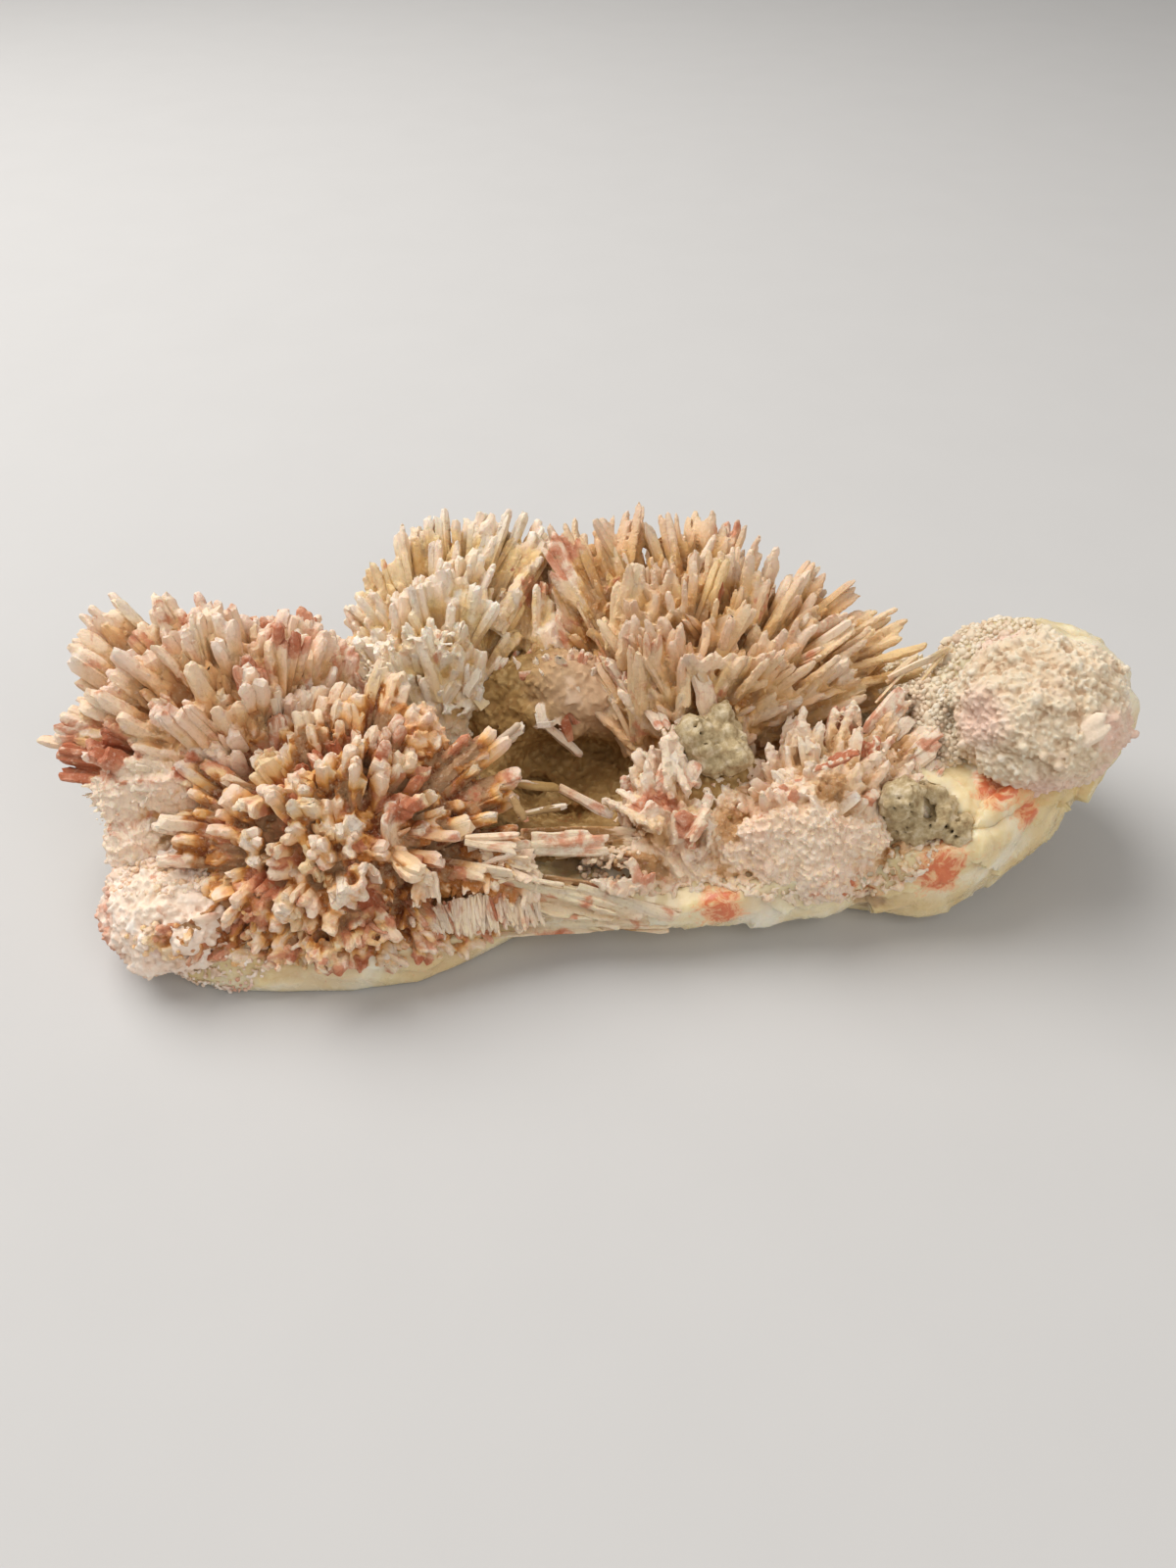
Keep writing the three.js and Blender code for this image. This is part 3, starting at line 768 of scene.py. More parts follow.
def spray(node, slot, material, root, layers, seed, *, core_share, zone, skin, stains, inner,
          extras=(), jitter=3.5, swell=0.12, bed=(1.15, (0.3, 0.65), (0.15, 0.7)),
          sugar=(1.7, (0.18, 0.36)), pitch=1.2, bald=(), fill=0.9, fur=None, keep=0.45, crisp=0.0,
          gap=6, stained=(0.2, 0.03, 0.08), finer=0.0, open_front=0.0, clear=()):
    """A spray of blades: those that end at the CAD blades' tips, and many more between them, out to
    the CAD spray's hull. Each layer has a spacing, shares of the reach, widths, a thickness and how
    pointed the tips are. The core is grown over with the bed's grains, and the sugar's finer ones
    stick to the blades. It all grows together in one skin, with the inner additions, of which a
    share is kept. A crisp share of the laths and the extras are laid over it.

    core_share   the core's size, as a share of the reach
    zone, gap    how far down the pale tips reach, and at what depth the gaps' painted shade is full, in millimetres
    skin, keep   the size of the skin's faces in millimetres, and the share of them that is kept
    jitter       how far the blades' feet stray, in millimetres
    swell        how much shorter the blades are in some patches, as a share of the reach
    pitch        how wide one lath of a blade is, in millimetres
    bald, fill   the ovals without blades, and how far out the core fills them
    fur          the flow of the fibres in those ovals
    stained      the shares of the blades that are white, yellow and red
    finer        how much narrower the blades that point to the right are
    open_front   the share that is left out of the blades that point at the viewer
    clear        the nodes that the blades pass by"""
    rng = chance(seed)
    root = place(node, root)
    hull = hull_of(node)
    ground = tree_of("chalcedony_crust")
    soup = Soup()
    core(soup, hull, root, core_share, seed, bald, fill)

    def is_out(points, facing):
        is_bare = np.array([inside(ground, p) < 0.3 * MM for p in points])
        return (points[:, 2] > LOW[2] + GRAIN_HEIGHT) & is_bare

    where, facing = scatter(soup.points[0], soup.faces_of(0), bed[0] * MM, rng, is_out)
    where = where + facing * 0.15 * MM
    n = len(where)
    bare = smooth(-0.5, 0.1, depth_in(where, bald))
    # The bed's grains among the blades are low in "along" for painted shade; where it is bald they are
    # light.
    along = rng.uniform(*bed[2], n) * (1 - bare) + bare * rng.uniform(0.7, 1, n)
    marks = {"along": along, "tint": rng.random(n)}
    grains(soup, where, facing, bed[1], rng, detail=1, marks=marks)
    if fur:
        fibres(soup, rng, where[bare > 0.3], facing[bare > 0.3], fur)
    furthest = max(reach_of(hull, root, aim) for aim in directions(600, chance(seed + 1)))
    shift = Vector((seed * 3.3, seed * 1.7, 0))
    heroes = tips_of(node, root)
    taken = finder(heroes)
    rows = []

    def is_bald(tip):
        return within(np.array([tip, root + (tip - root) * 0.85]), bald).any()

    def blade(tip, wide, thick, point, share):
        aim = unit(tip - root)
        stray = 2.0 if rng.random() < 0.2 else 1.0
        base = root + rng.normal(0, jitter * stray * MM, 3)
        turn = noise.noise(Vector(aim) * 2.6 + shift) * math.pi + rng.normal(0, 0.6)
        wide *= 1 - finer * smooth(0.1, 0.7, aim @ RIGHT)
        marks = (rng.random(), *(rng.uniform(0.3, 1) * (rng.random() < part) for part in stained))
        rows.extend(split(base, tip, turned(aim, turn), wide * MM, thick * MM, point, marks,
                          (core_share - 0.16) / share, rng, pitch=pitch))

    widths, thick, point = layers[0][2:]
    for tip in heroes:
        if not is_bald(tip):
            blade(tip, widths[1] * rng.uniform(0.8, 1.1), thick * rng.uniform(0.8, 1.2), point, 1.0)
    for spacing, lengths, widths, thick, point in layers:
        count = int(4 * math.pi / (spacing * MM / (lengths[1] * 0.85 * furthest)) ** 2)
        for aim in directions(count, rng):
            reach = reach_of(hull, root, aim)
            hollow = smooth(0.0, 0.5, noise.noise(Vector(aim) * 3.1 - shift)) * swell
            share = rng.uniform(*lengths) - hollow
            tip = root + aim * reach * share
            if reach < 0.4 * furthest or tip[2] < LOW[2] + TIP_HEIGHT:
                continue
            if open_front and rng.random() < open_front * smooth(0.7, 0.93, aim @ TOWARDS):
                continue
            if inside(ground, tip) > -CRUST_GAP:
                continue
            if taken.find(tip)[2] < 1.2 * MM or is_bald(tip):
                continue
            blade(tip, rng.uniform(*widths), thick * rng.uniform(0.7, 1.25), point, share)
    for other in clear:
        tree = tree_of(other)
        rows = [row for row in rows if not passes(row, tree, CLEAR_GAP)]
    laths(soup, rows, rng, zone=zone)
    block = len(soup.points) - 1

    def is_flank(points, facing):
        away = np.linalg.norm(points - root, axis=1)
        return (away > 0.7 * core_share * furthest) & is_out(points, facing)

    where, facing = scatter(soup.points[block], soup.faces_of(block), sugar[0] * MM, rng, is_flank)
    marks = grain_marks(len(where), (0.7, 1.0), rng)
    grains(soup, where, facing, sugar[1], rng, seat=0.1, detail=1, marks=marks)
    for extra in inner:
        extra(soup, rng)
    soup = fused(soup, skin * MM, 0.35, seed, keep)
    rows = [row for row in rows if rng.random() < crisp]
    if rows:
        laths(soup, rows, rng, zone=zone)
    # Painted shade in the gaps between the blades, deepest where they are sunk most.
    shaded(soup, root, gap * MM)
    for extra in extras:
        extra(soup, rng)
    stain(soup, node, stains)
    soup.piece(node + "_blades", node, slot, material)


# ---- materials -----------------------------------------------------------------------------------

class Paint:
    """A material's nodes, added and linked by short calls that give sockets back."""

    def __init__(self, name):
        self.material = bpy.data.materials.new(name)
        self.material.use_nodes = True
        self.nodes = self.material.node_tree.nodes
        self.links = self.material.node_tree.links

    def put(self, socket, value):
        if hasattr(value, "is_output"):
            self.links.new(value, socket)
        else:
            socket.default_value = value

    def node(self, kind, inputs, output=0, **settings):
        node = self.nodes.new("ShaderNode" + kind)
        for name, value in settings.items():
            setattr(node, name, value)
        for name, value in inputs.items():
            self.put(node.inputs[name], value)
        return node.outputs[output]

    def mark(self, name, output="Fac"):
        return self.node("Attribute", {}, output, attribute_name=name)

    def coords(self):
        return self.node("TexCoord", {}, "Object")

    def stretch(self, vector, scale):
        return self.node("Mapping", {"Vector": vector, "Scale": scale})

    def noise(self, vector, scale, detail=3.0, rough=0.55, twist=0.0):
        return self.node("TexNoise", {"Vector": vector, "Scale": scale, "Detail": detail,
                                      "Roughness": rough, "Distortion": twist}, "Fac")

    def math(self, operation, a, b, c=0.0):
        return self.node("Math", {0: a, 1: b, 2: c}, operation=operation)

    def share(self, name, most):
        return self.math("MULTIPLY", self.mark(name), most)

    def steps(self, value, low, high, to_low, to_high):
        return self.node("MapRange", {0: value, 1: low, 2: high, 3: to_low, 4: to_high},
                         interpolation_type="SMOOTHSTEP")

    def ramp(self, value, stops):
        shade = self.node("ValToRGB", {"Fac": value}, "Color")
        elements = shade.node.color_ramp.elements
        while len(elements) < len(stops):
            elements.new(0.5)
        for element, (at, colour) in zip(elements, stops):
            element.position = at
            element.color = (*colour, 1)
        return shade

    def mix(self, factor, a, b):
        a, b = ((*c, 1) if isinstance(c, tuple) else c for c in (a, b))
        return self.node("Mix", {0: factor, 6: a, 7: b}, 2, data_type="RGBA")

    def lay(self, colour, other, value, low, high, most=1.0):
        """A colour with another laid over it, up to a share, as a value goes from low to high."""
        return self.mix(self.steps(value, low, high, 0.0, most), colour, other)

    def bump(self, height, strength, distance, normal=None):
        inputs = {"Height": height, "Strength": strength, "Distance": distance}
        if normal is not None:
            inputs["Normal"] = normal
        return self.node("Bump", inputs)

    def finish(self, colour, rough, normal, glow=0.0, radius=(1.0, 0.5, 0.3), depth=1.5 * MM,
               shine=0.5):
        shader = self.nodes["Principled BSDF"]
        values = {"Base Color": colour, "Roughness": rough, "Normal": normal,
                  "Specular IOR Level": shine, "Subsurface Weight": glow,
                  "Subsurface Radius": radius, "Subsurface Scale": depth}
        for name, value in values.items():
            self.put(shader.inputs[name], value)
        return self.material


WHITE = (0.92, 0.76, 0.60)
CREAM = (0.90, 0.68, 0.42)
PEACH = (0.84, 0.47, 0.24)
PINK = (0.88, 0.58, 0.44)
SALMON = (0.62, 0.24, 0.13)
RUST = (0.42, 0.11, 0.045)
MUSTARD = (0.84, 0.60, 0.27)
SAND = (0.50, 0.32, 0.17)
BROWN = (0.33, 0.125, 0.035)


def stilbite(name, tip, body, foot, pink, rust, painted_shade_colours):
    """Translucent laths: coloured along the body and pale at the tip, with painted shade in the gaps
    between them and at their feet, in two colours that are given deepest first."""
    p = Paint(name)
    here = p.coords()
    grain = p.mark("grain", "Vector")
    along = p.mark("along")
    mottle = p.noise(here, 420, 4)
    patch = p.noise(here, 70, 3)
    at = p.math("ADD", along, p.math("MULTIPLY_ADD", mottle, 0.24, -0.12))
    colour = p.ramp(at, [(0.48, foot), (0.74, body), (0.95, tip)])
    colour = p.lay(colour, PINK, patch, 0.45, 0.68, pink)
    colour = p.lay(colour, CREAM, p.mark("tint"), 0.55, 1.0, 0.55)
    colour = p.lay(colour, PEACH, p.mark("tint"), 0.42, 0.0, 0.25)
    colour = p.mix(p.share("white", 0.85), colour, WHITE)
    colour = p.mix(p.share("mustard", 0.6), colour, MUSTARD)
    # Painted shade: where "along" is low, in the gaps and at the feet, the colour darkens to the shade
    # colours.
    colour = p.lay(colour, painted_shade_colours[1], at, 0.58, 0.32)
    colour = p.lay(colour, painted_shade_colours[0], at, 0.34, 0.12)
    streak = p.noise(p.stretch(grain, (2.2, 0.18, 1.0)), 1.0, 3)
    stain = p.math("ADD", p.noise(here, 280, 4, twist=0.6), p.share("red", 0.33))
    stain = p.math("MULTIPLY_ADD", streak, 0.12, stain)
    colour = p.lay(colour, SALMON, stain, 0.70 - rust, 0.86 - rust, 0.85)
    colour = p.lay(colour, RUST, stain, 0.84 - rust, 1.0 - rust, 0.8)
    sand = p.math("SUBTRACT", p.math("MULTIPLY", along, 0.3), p.noise(here, 260, 5, 0.7))
    colour = p.lay(colour, SAND, sand, -0.38, -0.52, 0.7)
    colour = p.mix(p.steps(streak, 0.35, 0.7, 0.0, 0.25), colour, p.mix(0.5, colour, BROWN))
    speck = p.noise(here, 1300, 3, 0.7)
    colour = p.mix(p.steps(speck, 0.47, 0.3, 0.0, 0.55), colour, p.mix(0.6, colour, SAND))
    colour = p.lay(colour, WHITE, speck, 0.55, 0.7, 0.3)
    lines = p.noise(p.stretch(grain, (5.0, 0.35, 1.0)), 1.0, 4, 0.6)
    sugar = p.noise(here, 2300, 3, 0.65)
    normal = p.bump(sugar, 0.6, 0.3 * MM)
    normal = p.bump(lines, 0.5, 0.22 * MM, normal)
    rough = p.steps(mottle, 0.3, 0.7, 0.5, 0.8)
    return p.finish(colour, rough, normal, 0.2, (1.0, 0.45, 0.2), 1.4 * MM, 0.28)


def druse(name, stops, stain, patch, gap, dull=0.85):
    """Fine crystal grains, each of its own tone, with the gap's colour between them, which is partly
    sand and partly painted shade, brown painted shade where they lie deepest, patches of another colour
    and iron stains."""
    p = Paint(name)
    here = p.coords()
    shade = p.math("MULTIPLY_ADD", p.noise(here, 300, 4), 0.5, p.share("tint", 0.55))
    colour = p.ramp(shade, stops)
    # The gaps between the grains, where "along" is low: the gap's colour, partly sand and partly painted
    # shade, then brown painted shade.
    colour = p.lay(colour, gap, p.mark("along"), 0.85, 0.45, 0.45)
    colour = p.lay(colour, BROWN, p.mark("along"), 0.45, 0.1, 0.7)
    colour = p.mix(p.share("white", 0.8), colour, WHITE)
    colour = p.mix(p.share("mustard", 0.75), colour, patch)
    red = p.math("ADD", p.noise(here, 160, 4, twist=0.5), p.share("red", 0.3))
    colour = p.lay(colour, SALMON, red, 0.72 - stain, 0.9 - stain, 0.8)
    normal = p.bump(p.noise(here, 2200, 4, 0.7), 0.6, 0.3 * MM)
    return p.finish(colour, dull, normal, 0.06, shine=0.3)


def chalcedony():
    """Pale waxy crust with milky depth, faint ribs, iron stains and painted shade."""
    p = Paint("chalcedony")
    here = p.coords()
    cloud = p.noise(here, 75, 5, 0.6, 0.8)
    fine = p.noise(here, 420, 5, 0.65)
    colour = p.ramp(cloud, [(0.32, (0.70, 0.50, 0.22)), (0.5, (0.80, 0.65, 0.38)),
                            (0.66, (0.88, 0.80, 0.62))])
    colour = p.lay(colour, (0.74, 0.55, 0.32), fine, 0.5, 0.75, 0.25)
    colour = p.mix(p.share("white", 0.8), colour, (0.90, 0.85, 0.74))
    # The yellow-stain marks: here painted tan shade along the crust's lower front rim.
    colour = p.mix(p.share("mustard", 0.5), colour, (0.76, 0.54, 0.30))
    blotch = p.math("MULTIPLY_ADD", p.noise(here, 420, 7, 0.78, 0.8), 3.6, -1.8)
    edge = p.math("ADD", blotch, p.mark("red"))
    colour = p.lay(colour, (0.87, 0.42, 0.20), edge, 0.35, 0.7, 0.7)
    colour = p.lay(colour, (0.66, 0.14, 0.045), edge, 0.75, 1.1, 0.85)
    # Painted shade: where "along" is low, in the holes, the crust darkens to sand brown.
    colour = p.lay(colour, SAND, p.mark("along"), 0.5, 0.0, 0.8)
    ribs = p.noise(p.stretch(here, (1.0, 1.0, 0.12)), 1300, 3)
    normal = p.bump(fine, 0.2, 0.5 * MM)
    normal = p.bump(ribs, 0.12, 0.25 * MM, normal)
    rough = p.steps(fine, 0.3, 0.7, 0.18, 0.36)
    return p.finish(colour, rough, normal, 0.5, (1.0, 0.75, 0.45), 4 * MM)


def nodule(name):
    """Dull grey-green, with the pits painted near black: painted shade."""
    p = Paint(name)
    here = p.coords()
    shade = p.noise(here, 500, 5, 0.7)
    colour = p.ramp(shade, [(0.3, (0.27, 0.17, 0.075)), (0.5, (0.52, 0.40, 0.22)),
                            (0.72, (0.82, 0.70, 0.52))])
    # Painted shade: the pits and the crater, where "along" is low, are painted near black.
    colour = p.lay(colour, (0.03, 0.024, 0.016), p.mark("along"), 0.6, 0.1)
    normal = p.bump(p.noise(here, 1900, 4, 0.7), 0.7, 0.35 * MM)
    return p.finish(colour, 0.85, normal)


# The laths' colours: the tips, the bodies and the feet, how pink and how rusty they are, and the painted
# shade of the gaps.
PEACHY = stilbite("peach_blades", (0.91, 0.73, 0.58), (0.88, 0.57, 0.30), (0.80, 0.39, 0.09),
                  0.35, 0.085, ((0.19, 0.045, 0.008), (0.47, 0.17, 0.034)))
PALE = stilbite("pale_peach_blades", (0.93, 0.78, 0.66), (0.90, 0.67, 0.49), (0.86, 0.57, 0.31),
                0.35, 0.08, ((0.45, 0.20, 0.07), (0.76, 0.45, 0.21)))
CREAMY = stilbite("cream_blades", (0.97, 0.90, 0.79), (0.95, 0.81, 0.61), (0.86, 0.64, 0.38),
                  0.3, 0.03, ((0.64, 0.39, 0.14), (0.86, 0.62, 0.31)))
TAWNY = stilbite("tawny_blades", (0.72, 0.56, 0.42), (0.78, 0.54, 0.32), (0.77, 0.48, 0.22),
                 0.3, 0.0, ((0.46, 0.21, 0.06), (0.68, 0.40, 0.155)))
BUFF = stilbite("buff_blades", (0.79, 0.67, 0.49), (0.75, 0.58, 0.36), (0.60, 0.40, 0.20),
                0.3, 0.05, ((0.22, 0.095, 0.025), (0.45, 0.26, 0.10)))
ROSY = stilbite("rosy_blades", (0.87, 0.74, 0.60), (0.83, 0.62, 0.43), (0.74, 0.49, 0.27),
                0.3, 0.05, ((0.34, 0.15, 0.045), (0.57, 0.32, 0.14)))


# ---- the pieces ----------------------------------------------------------------------------------

CRUST = ("chalcedony_crust",)  # what many additions grow on


def chips(points, size, seed, tilt, step):
    """The lift of a surface broken into flat chips of about the given size."""
    shift = Vector((seed * 5.1, 0, 0))
    lift = np.empty(len(points))
    bent = points + rough(points, size * 0.7, seed)[:, None] * size * 0.12
    for i, p in enumerate(bent):
        centre = noise.voronoi(Vector(p) / size + shift)[1][0]
        lean = noise.cell_vector(centre * 7.3) * 2 - Vector((1, 1, 1))
        away = Vector(p) / size + shift - centre
        lift[i] = away.dot(lean) * tilt + noise.cell(centre * 3.1) * step
    return lift


# The crust's marks: red iron stains, white patches, and, in the yellow-stain kind, painted tan shade
# along the lower front rim.
CRUST_STAINS_AND_SHADE = {
    "red": [(0.87, 0.33, 0.66, 7), (0.84, 0.31, 0.62, 6), (0.87, 0.28, 0.51, 4), (0.79, 0.2, 0.39, 6.5),
            (0.79, 0.19, 0.33, 6), (0.59, 0.14, 0.24, 6), (0.7, 0.17, 0.32, 5), (0.73, 0.19, 0.22, 4)],
    "white": [(0.93, 0.45, 0.85, 14), (0.8, 0.12, 0.25, 7), (0.63, 0.12, 0.15, 7)],
    "mustard": [(0.62, 0.12, 0.3, 6), (0.34, 0.06, 0.1, 12), (0.45, 0.1, 0.1, 11),
                (0.22, 0.05, 0.1, 10), (0.75, 0.12, 0.15, 9)]}


def crust():
    """The waxy crust, wavy at the left and broken in flat chips at the right."""
    node = "chalcedony_crust"
    points, polygons, normals = remeshed(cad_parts[node].data, 0.65 * MM)
    x, h = elevation(points)
    broken = smooth(0.58, 0.66, x) * smooth(0.62, 0.5, h)
    lift = rough(points, 9 * MM, 61) * 0.6 + rough(points, 2.5 * MM, 62) * 0.12
    lift = lift + broken * (chips(points, 12 * MM, 63, 1.7, 0.8) + chips(points, 5 * MM, 64, 0.4, 0.1))
    lift = lift - (1 - broken) * np.abs(rough(points, 7 * MM, 65)) * 1.6
    free = smooth(0.2 * MM, 4 * MM, points[:, 2] - LOW[2])
    points = dented(points, DENTS) + normals * (lift * free * MM)[:, None]
    points, polygons = thinned(points, polygons, 0.42)
    SHAPES[node] = points, polygons
    soup = Soup()
    # The holes get painted shade.
    soup.add(points, as_faces(polygons), along=1.0 - painted_hole_shade(points))
    stain(soup, node, CRUST_STAINS_AND_SHADE)
    soup.piece("crust", node, "chalcedony", chalcedony(), sharp=60)


crust()


# The plates of the pieces below, as "shards" takes them. First those on the swelling over the hollow.
ARCH = [((0.460, 0.522, 14.0), (0.460, 0.576, 14.6), 4.0, 1.5, 1.0, 0.0),  # white
        ((0.483, 0.572, 15.0), (0.478, 0.624, 15.6), 2.6, 1.3, 1.0, 0.1),
        ((0.479, 0.486, 11.0), (0.466, 0.590, 15.4), 1.5, 2.0, 0.0, 1.0),  # the red edges between them
        ((0.487, 0.520, 12.5), (0.476, 0.602, 15.2), 1.3, 1.6, 0.1, 0.9),
        ((0.432, 0.617, 12.6), (0.486, 0.620, 14.8), 1.6, 1.6, 0.5, 0.5),  # the pink rim above
        ((0.453, 0.521, 13.6), (0.494, 0.452, 9.0), 1.3, 1.4, 0.6, 0.3),  # and the thin rims below
        ((0.408, 0.466, 14.0), (0.438, 0.518, 13.8), 2.6, 1.6, 0.8, 0.3)]
ARCH_MASS = [(0.425, 0.508, 10.0, 2.4), (0.447, 0.538, 12.0, 2.4), (0.466, 0.556, 12.6, 2.6),
             (0.482, 0.520, 10.2, 2.3), (0.492, 0.555, 12.8, 2.4), (0.470, 0.600, 13.8, 2.5)]
BARS = [((0.430, 0.398, 24), (0.478, 0.382, 21), 1.3, 1.1, 0.0, 0.3),  # across the low holes
        ((0.472, 0.385, 21), (0.523, 0.335, 24), 1.4, 1.2, 0.0, 0.3),
        ((0.434, 0.335, 25), (0.490, 0.362, 22), 1.2, 1.0, 0.1, 0.1),
        ((0.430, 0.372, 28), (0.446, 0.320, 29.5), 1.0, 0.8, 0.1, 0.9)]
SHARDS = [((0.530, 0.610, 12), (0.562, 0.496, 23), 1.3, 1.2, 0.1, 0.2),  # two that cross to the nodule
          ((0.540, 0.610, 12), (0.573, 0.500, 23), 1.1, 1.2, 0.1, 0.2),
          ((0.604, 0.530, 21), (0.592, 0.665, 22), 2.6, 1.4, 0.3, 0.3),
          ((0.577, 0.390, 25), (0.598, 0.464, 26), 2.6, 1.5, 1.0, 0.2),  # white, at the ridge's top
          ((0.556, 0.370, 25), (0.574, 0.460, 26), 2.8, 1.4, 0.9, 0.3),
          ((0.594, 0.342, 25.6), (0.609, 0.396, 26), 2.1, 1.3, 1.0, 0.1)]


def druse_piece(node, slot, material, voxel, lift, layers, seed, skin, base, *, stains, inner,
                dents=(), root=None, keep=0.5, extras=()):
    """A CAD piece's shape under grown-together grains, with painted shade in the gaps between them. Each
    layer of grains has a spacing, sizes and a fineness. The shape's voxels, its lift and the skin's
    faces are in millimetres, and its base is how light the surface under the grains is. The holes get
    painted shade, and with a root the gaps get more of it, as seen from there."""
    rng = chance(seed)
    points, polygons, normals = remeshed(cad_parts[node].data, voxel * MM)
    points = dented(points, dents) + normals * (rough(points, 4 * MM, seed) * lift * MM)[:, None]
    SHAPES[node] = points, polygons
    soup = Soup()
    # Painted shade in the holes: the surface and its tint are darkened there.
    light = 1 - painted_hole_shade(points)
    soup.add(points, as_faces(polygons), along=(base + 0.2 * rng.random(len(points))) * light,
             tint=(0.3 + 0.5 * rng.random(len(points))) * light)
    for spacing, size, detail in layers:
        where, facing = scatter(points, polygons, spacing * MM, rng)
        patchy = rough(where, 6 * MM, seed + 3)
        marks = grain_marks(len(where), (0.6, 1), rng)
        marks["tint"] = np.clip(marks["tint"] * 0.6 + 0.25 + 0.3 * patchy, 0, 1)
        grains(soup, where, facing, size, rng, detail=detail, seat=0.5, marks=marks)
    for extra in inner:
        extra(soup, rng)
    soup = fused(soup, skin * MM, 0.1, seed, keep)
    if root:
        shaded(soup, place(node, root), 1.1 * MM, 0.1)
    for extra in extras:
        extra(soup, rng)
    stain(soup, node, stains)
    soup.piece(node + "_grains", node, slot, material, sharp=60)


PINK_DRUSE = druse("pink_druse", [(0.2, (0.66, 0.48, 0.35)), (0.4, (0.78, 0.62, 0.46)),
                                  (0.62, (0.80, 0.69, 0.52)), (0.85, (0.86, 0.78, 0.66))],
                   0.02, (0.86, 0.60, 0.50), (0.66, 0.47, 0.28), dull=0.9)
LOBE_DRUSE = druse("lobe_druse", [(0.2, (0.72, 0.50, 0.35)), (0.5, (0.95, 0.78, 0.65)),
                                  (0.85, (0.98, 0.91, 0.83))],
                   0.12, (0.66, 0.44, 0.25), (0.92, 0.70, 0.54))
SANDY = druse("sandy_druse", [(0.2, (0.15, 0.07, 0.016)), (0.5, (0.33, 0.19, 0.06)),
                              (0.85, (0.56, 0.38, 0.17))],
              -0.02, (0.74, 0.50, 0.32), (0.28, 0.16, 0.055))

druse_piece("hollow_druse", "sandy_druse", SANDY, 0.9, 0.8, [(0.8, (0.3, 0.48), 1)], 43, 0.36, 0.25,
            stains={"mustard": [(0.43, 0.66, 0.82, 13)]}, dents=DENTS,
            inner=[lumps(ARCH_MASS, (0.6, 0.8), (0.8, (0.3, 0.48))), shards(ARCH), shards(BARS)])

# The rosette, with the short blades over its lower rim, and the fibres and plates to its right.
SKIRT = ("chalcedony_crust", "front_rosette", "left_lobe_druse", "front_bundle")
FROM_ROSETTE = away_from(0.29, 0.27)
spray("front_rosette", "peach_stilbite", PEACHY, (0.49, 0.48, 0.21),
      [(7.8, (0.88, 1.0), (3.4, 6.4), 2.4, 0.05), (7.4, (0.78, 0.9), (2.4, 4.2), 2.0, 0.15),
       (6.2, (0.72, 0.82), (1.3, 2.6), 1.4, 0.35)], 21,
      core_share=0.63, zone=7, skin=0.38, pitch=1.6, jitter=2.0, bed=(1.2, (0.4, 0.75), (0.1, 0.6)),
      keep=0.48, crisp=0.6, gap=3.2, stained=(0.22, 0.06, 0.2), finer=0.5, open_front=0.45,
      bald=[(0.385, 0.63, 9, 7)], fill=0.7,
      stains={"red": [(0.2, 0.44, 0.38, 6), (0.39, 0.39, 0.46, 5), (0.32, 0.25, 0.3, 5),
                      (0.57, 0.25, 0.23, 6), (0.71, 0.37, 0.64, 4), (0.85, 0.32, 0.58, 5)],
              "mustard": [(0.74, 0.65, 0.53, 6), (0.62, 0.6, 0.6, 6)],
              "white": [(0.7, 0.4, 0.7, 3)]},
      inner=[cover(SKIRT, [(0.27, 0.118, 26, 4.2)], 2.1, (3, 6), (1.2, 2.6), 1.5, 0.3, 0.4,
                   FROM_ROSETTE, stains=(0.3, 0.3, 0.8)),
             dust(SKIRT, [(0.26, 0.112, 27, 4.6)], 1.1, (0.4, 0.7), along=(0.35, 0.85)),
             fan((0.37, 0.25, 24), (0.42, 0.458), (0.20, 0.285), (28, 32.5), 30, (1.8, 3.2), 0.9, 0.1,
                 stains=(1.0, 0.5, 0.1), zone=40),
             cover(SKIRT, [(0.40, 0.178, 11, 3.6)], 1.0, (4, 6), (0.7, 1.2), 1.0, 0.5, 0.15, downward,
                   stains=(1.2, 0.2, 0.0), zone=60)],
      extras=[cover(SKIRT, [(0.27, 0.115, 26, 4.2)], 3.2, (3, 5.5), (0.8, 2.0), 1.0, 0.5, 0.45,
                    FROM_ROSETTE, stains=(0.5, 0.2, 0.9)),
              fringe([(0.350, 0.158, 29.5), (0.401, 0.190, 30.2), (0.449, 0.195, 28.0)],
                     [(0.362, 0.118, 31.6), (0.403, 0.120, 30.4), (0.456, 0.135, 27.8)], 170),
              fan((0.385, 0.25, 27), (0.425, 0.460), (0.205, 0.285), (29.5, 32.5), 16, (2.0, 3.4), 0.8,
                  0.1, stains=(1.0, 0.6, 0.1), zone=60)])

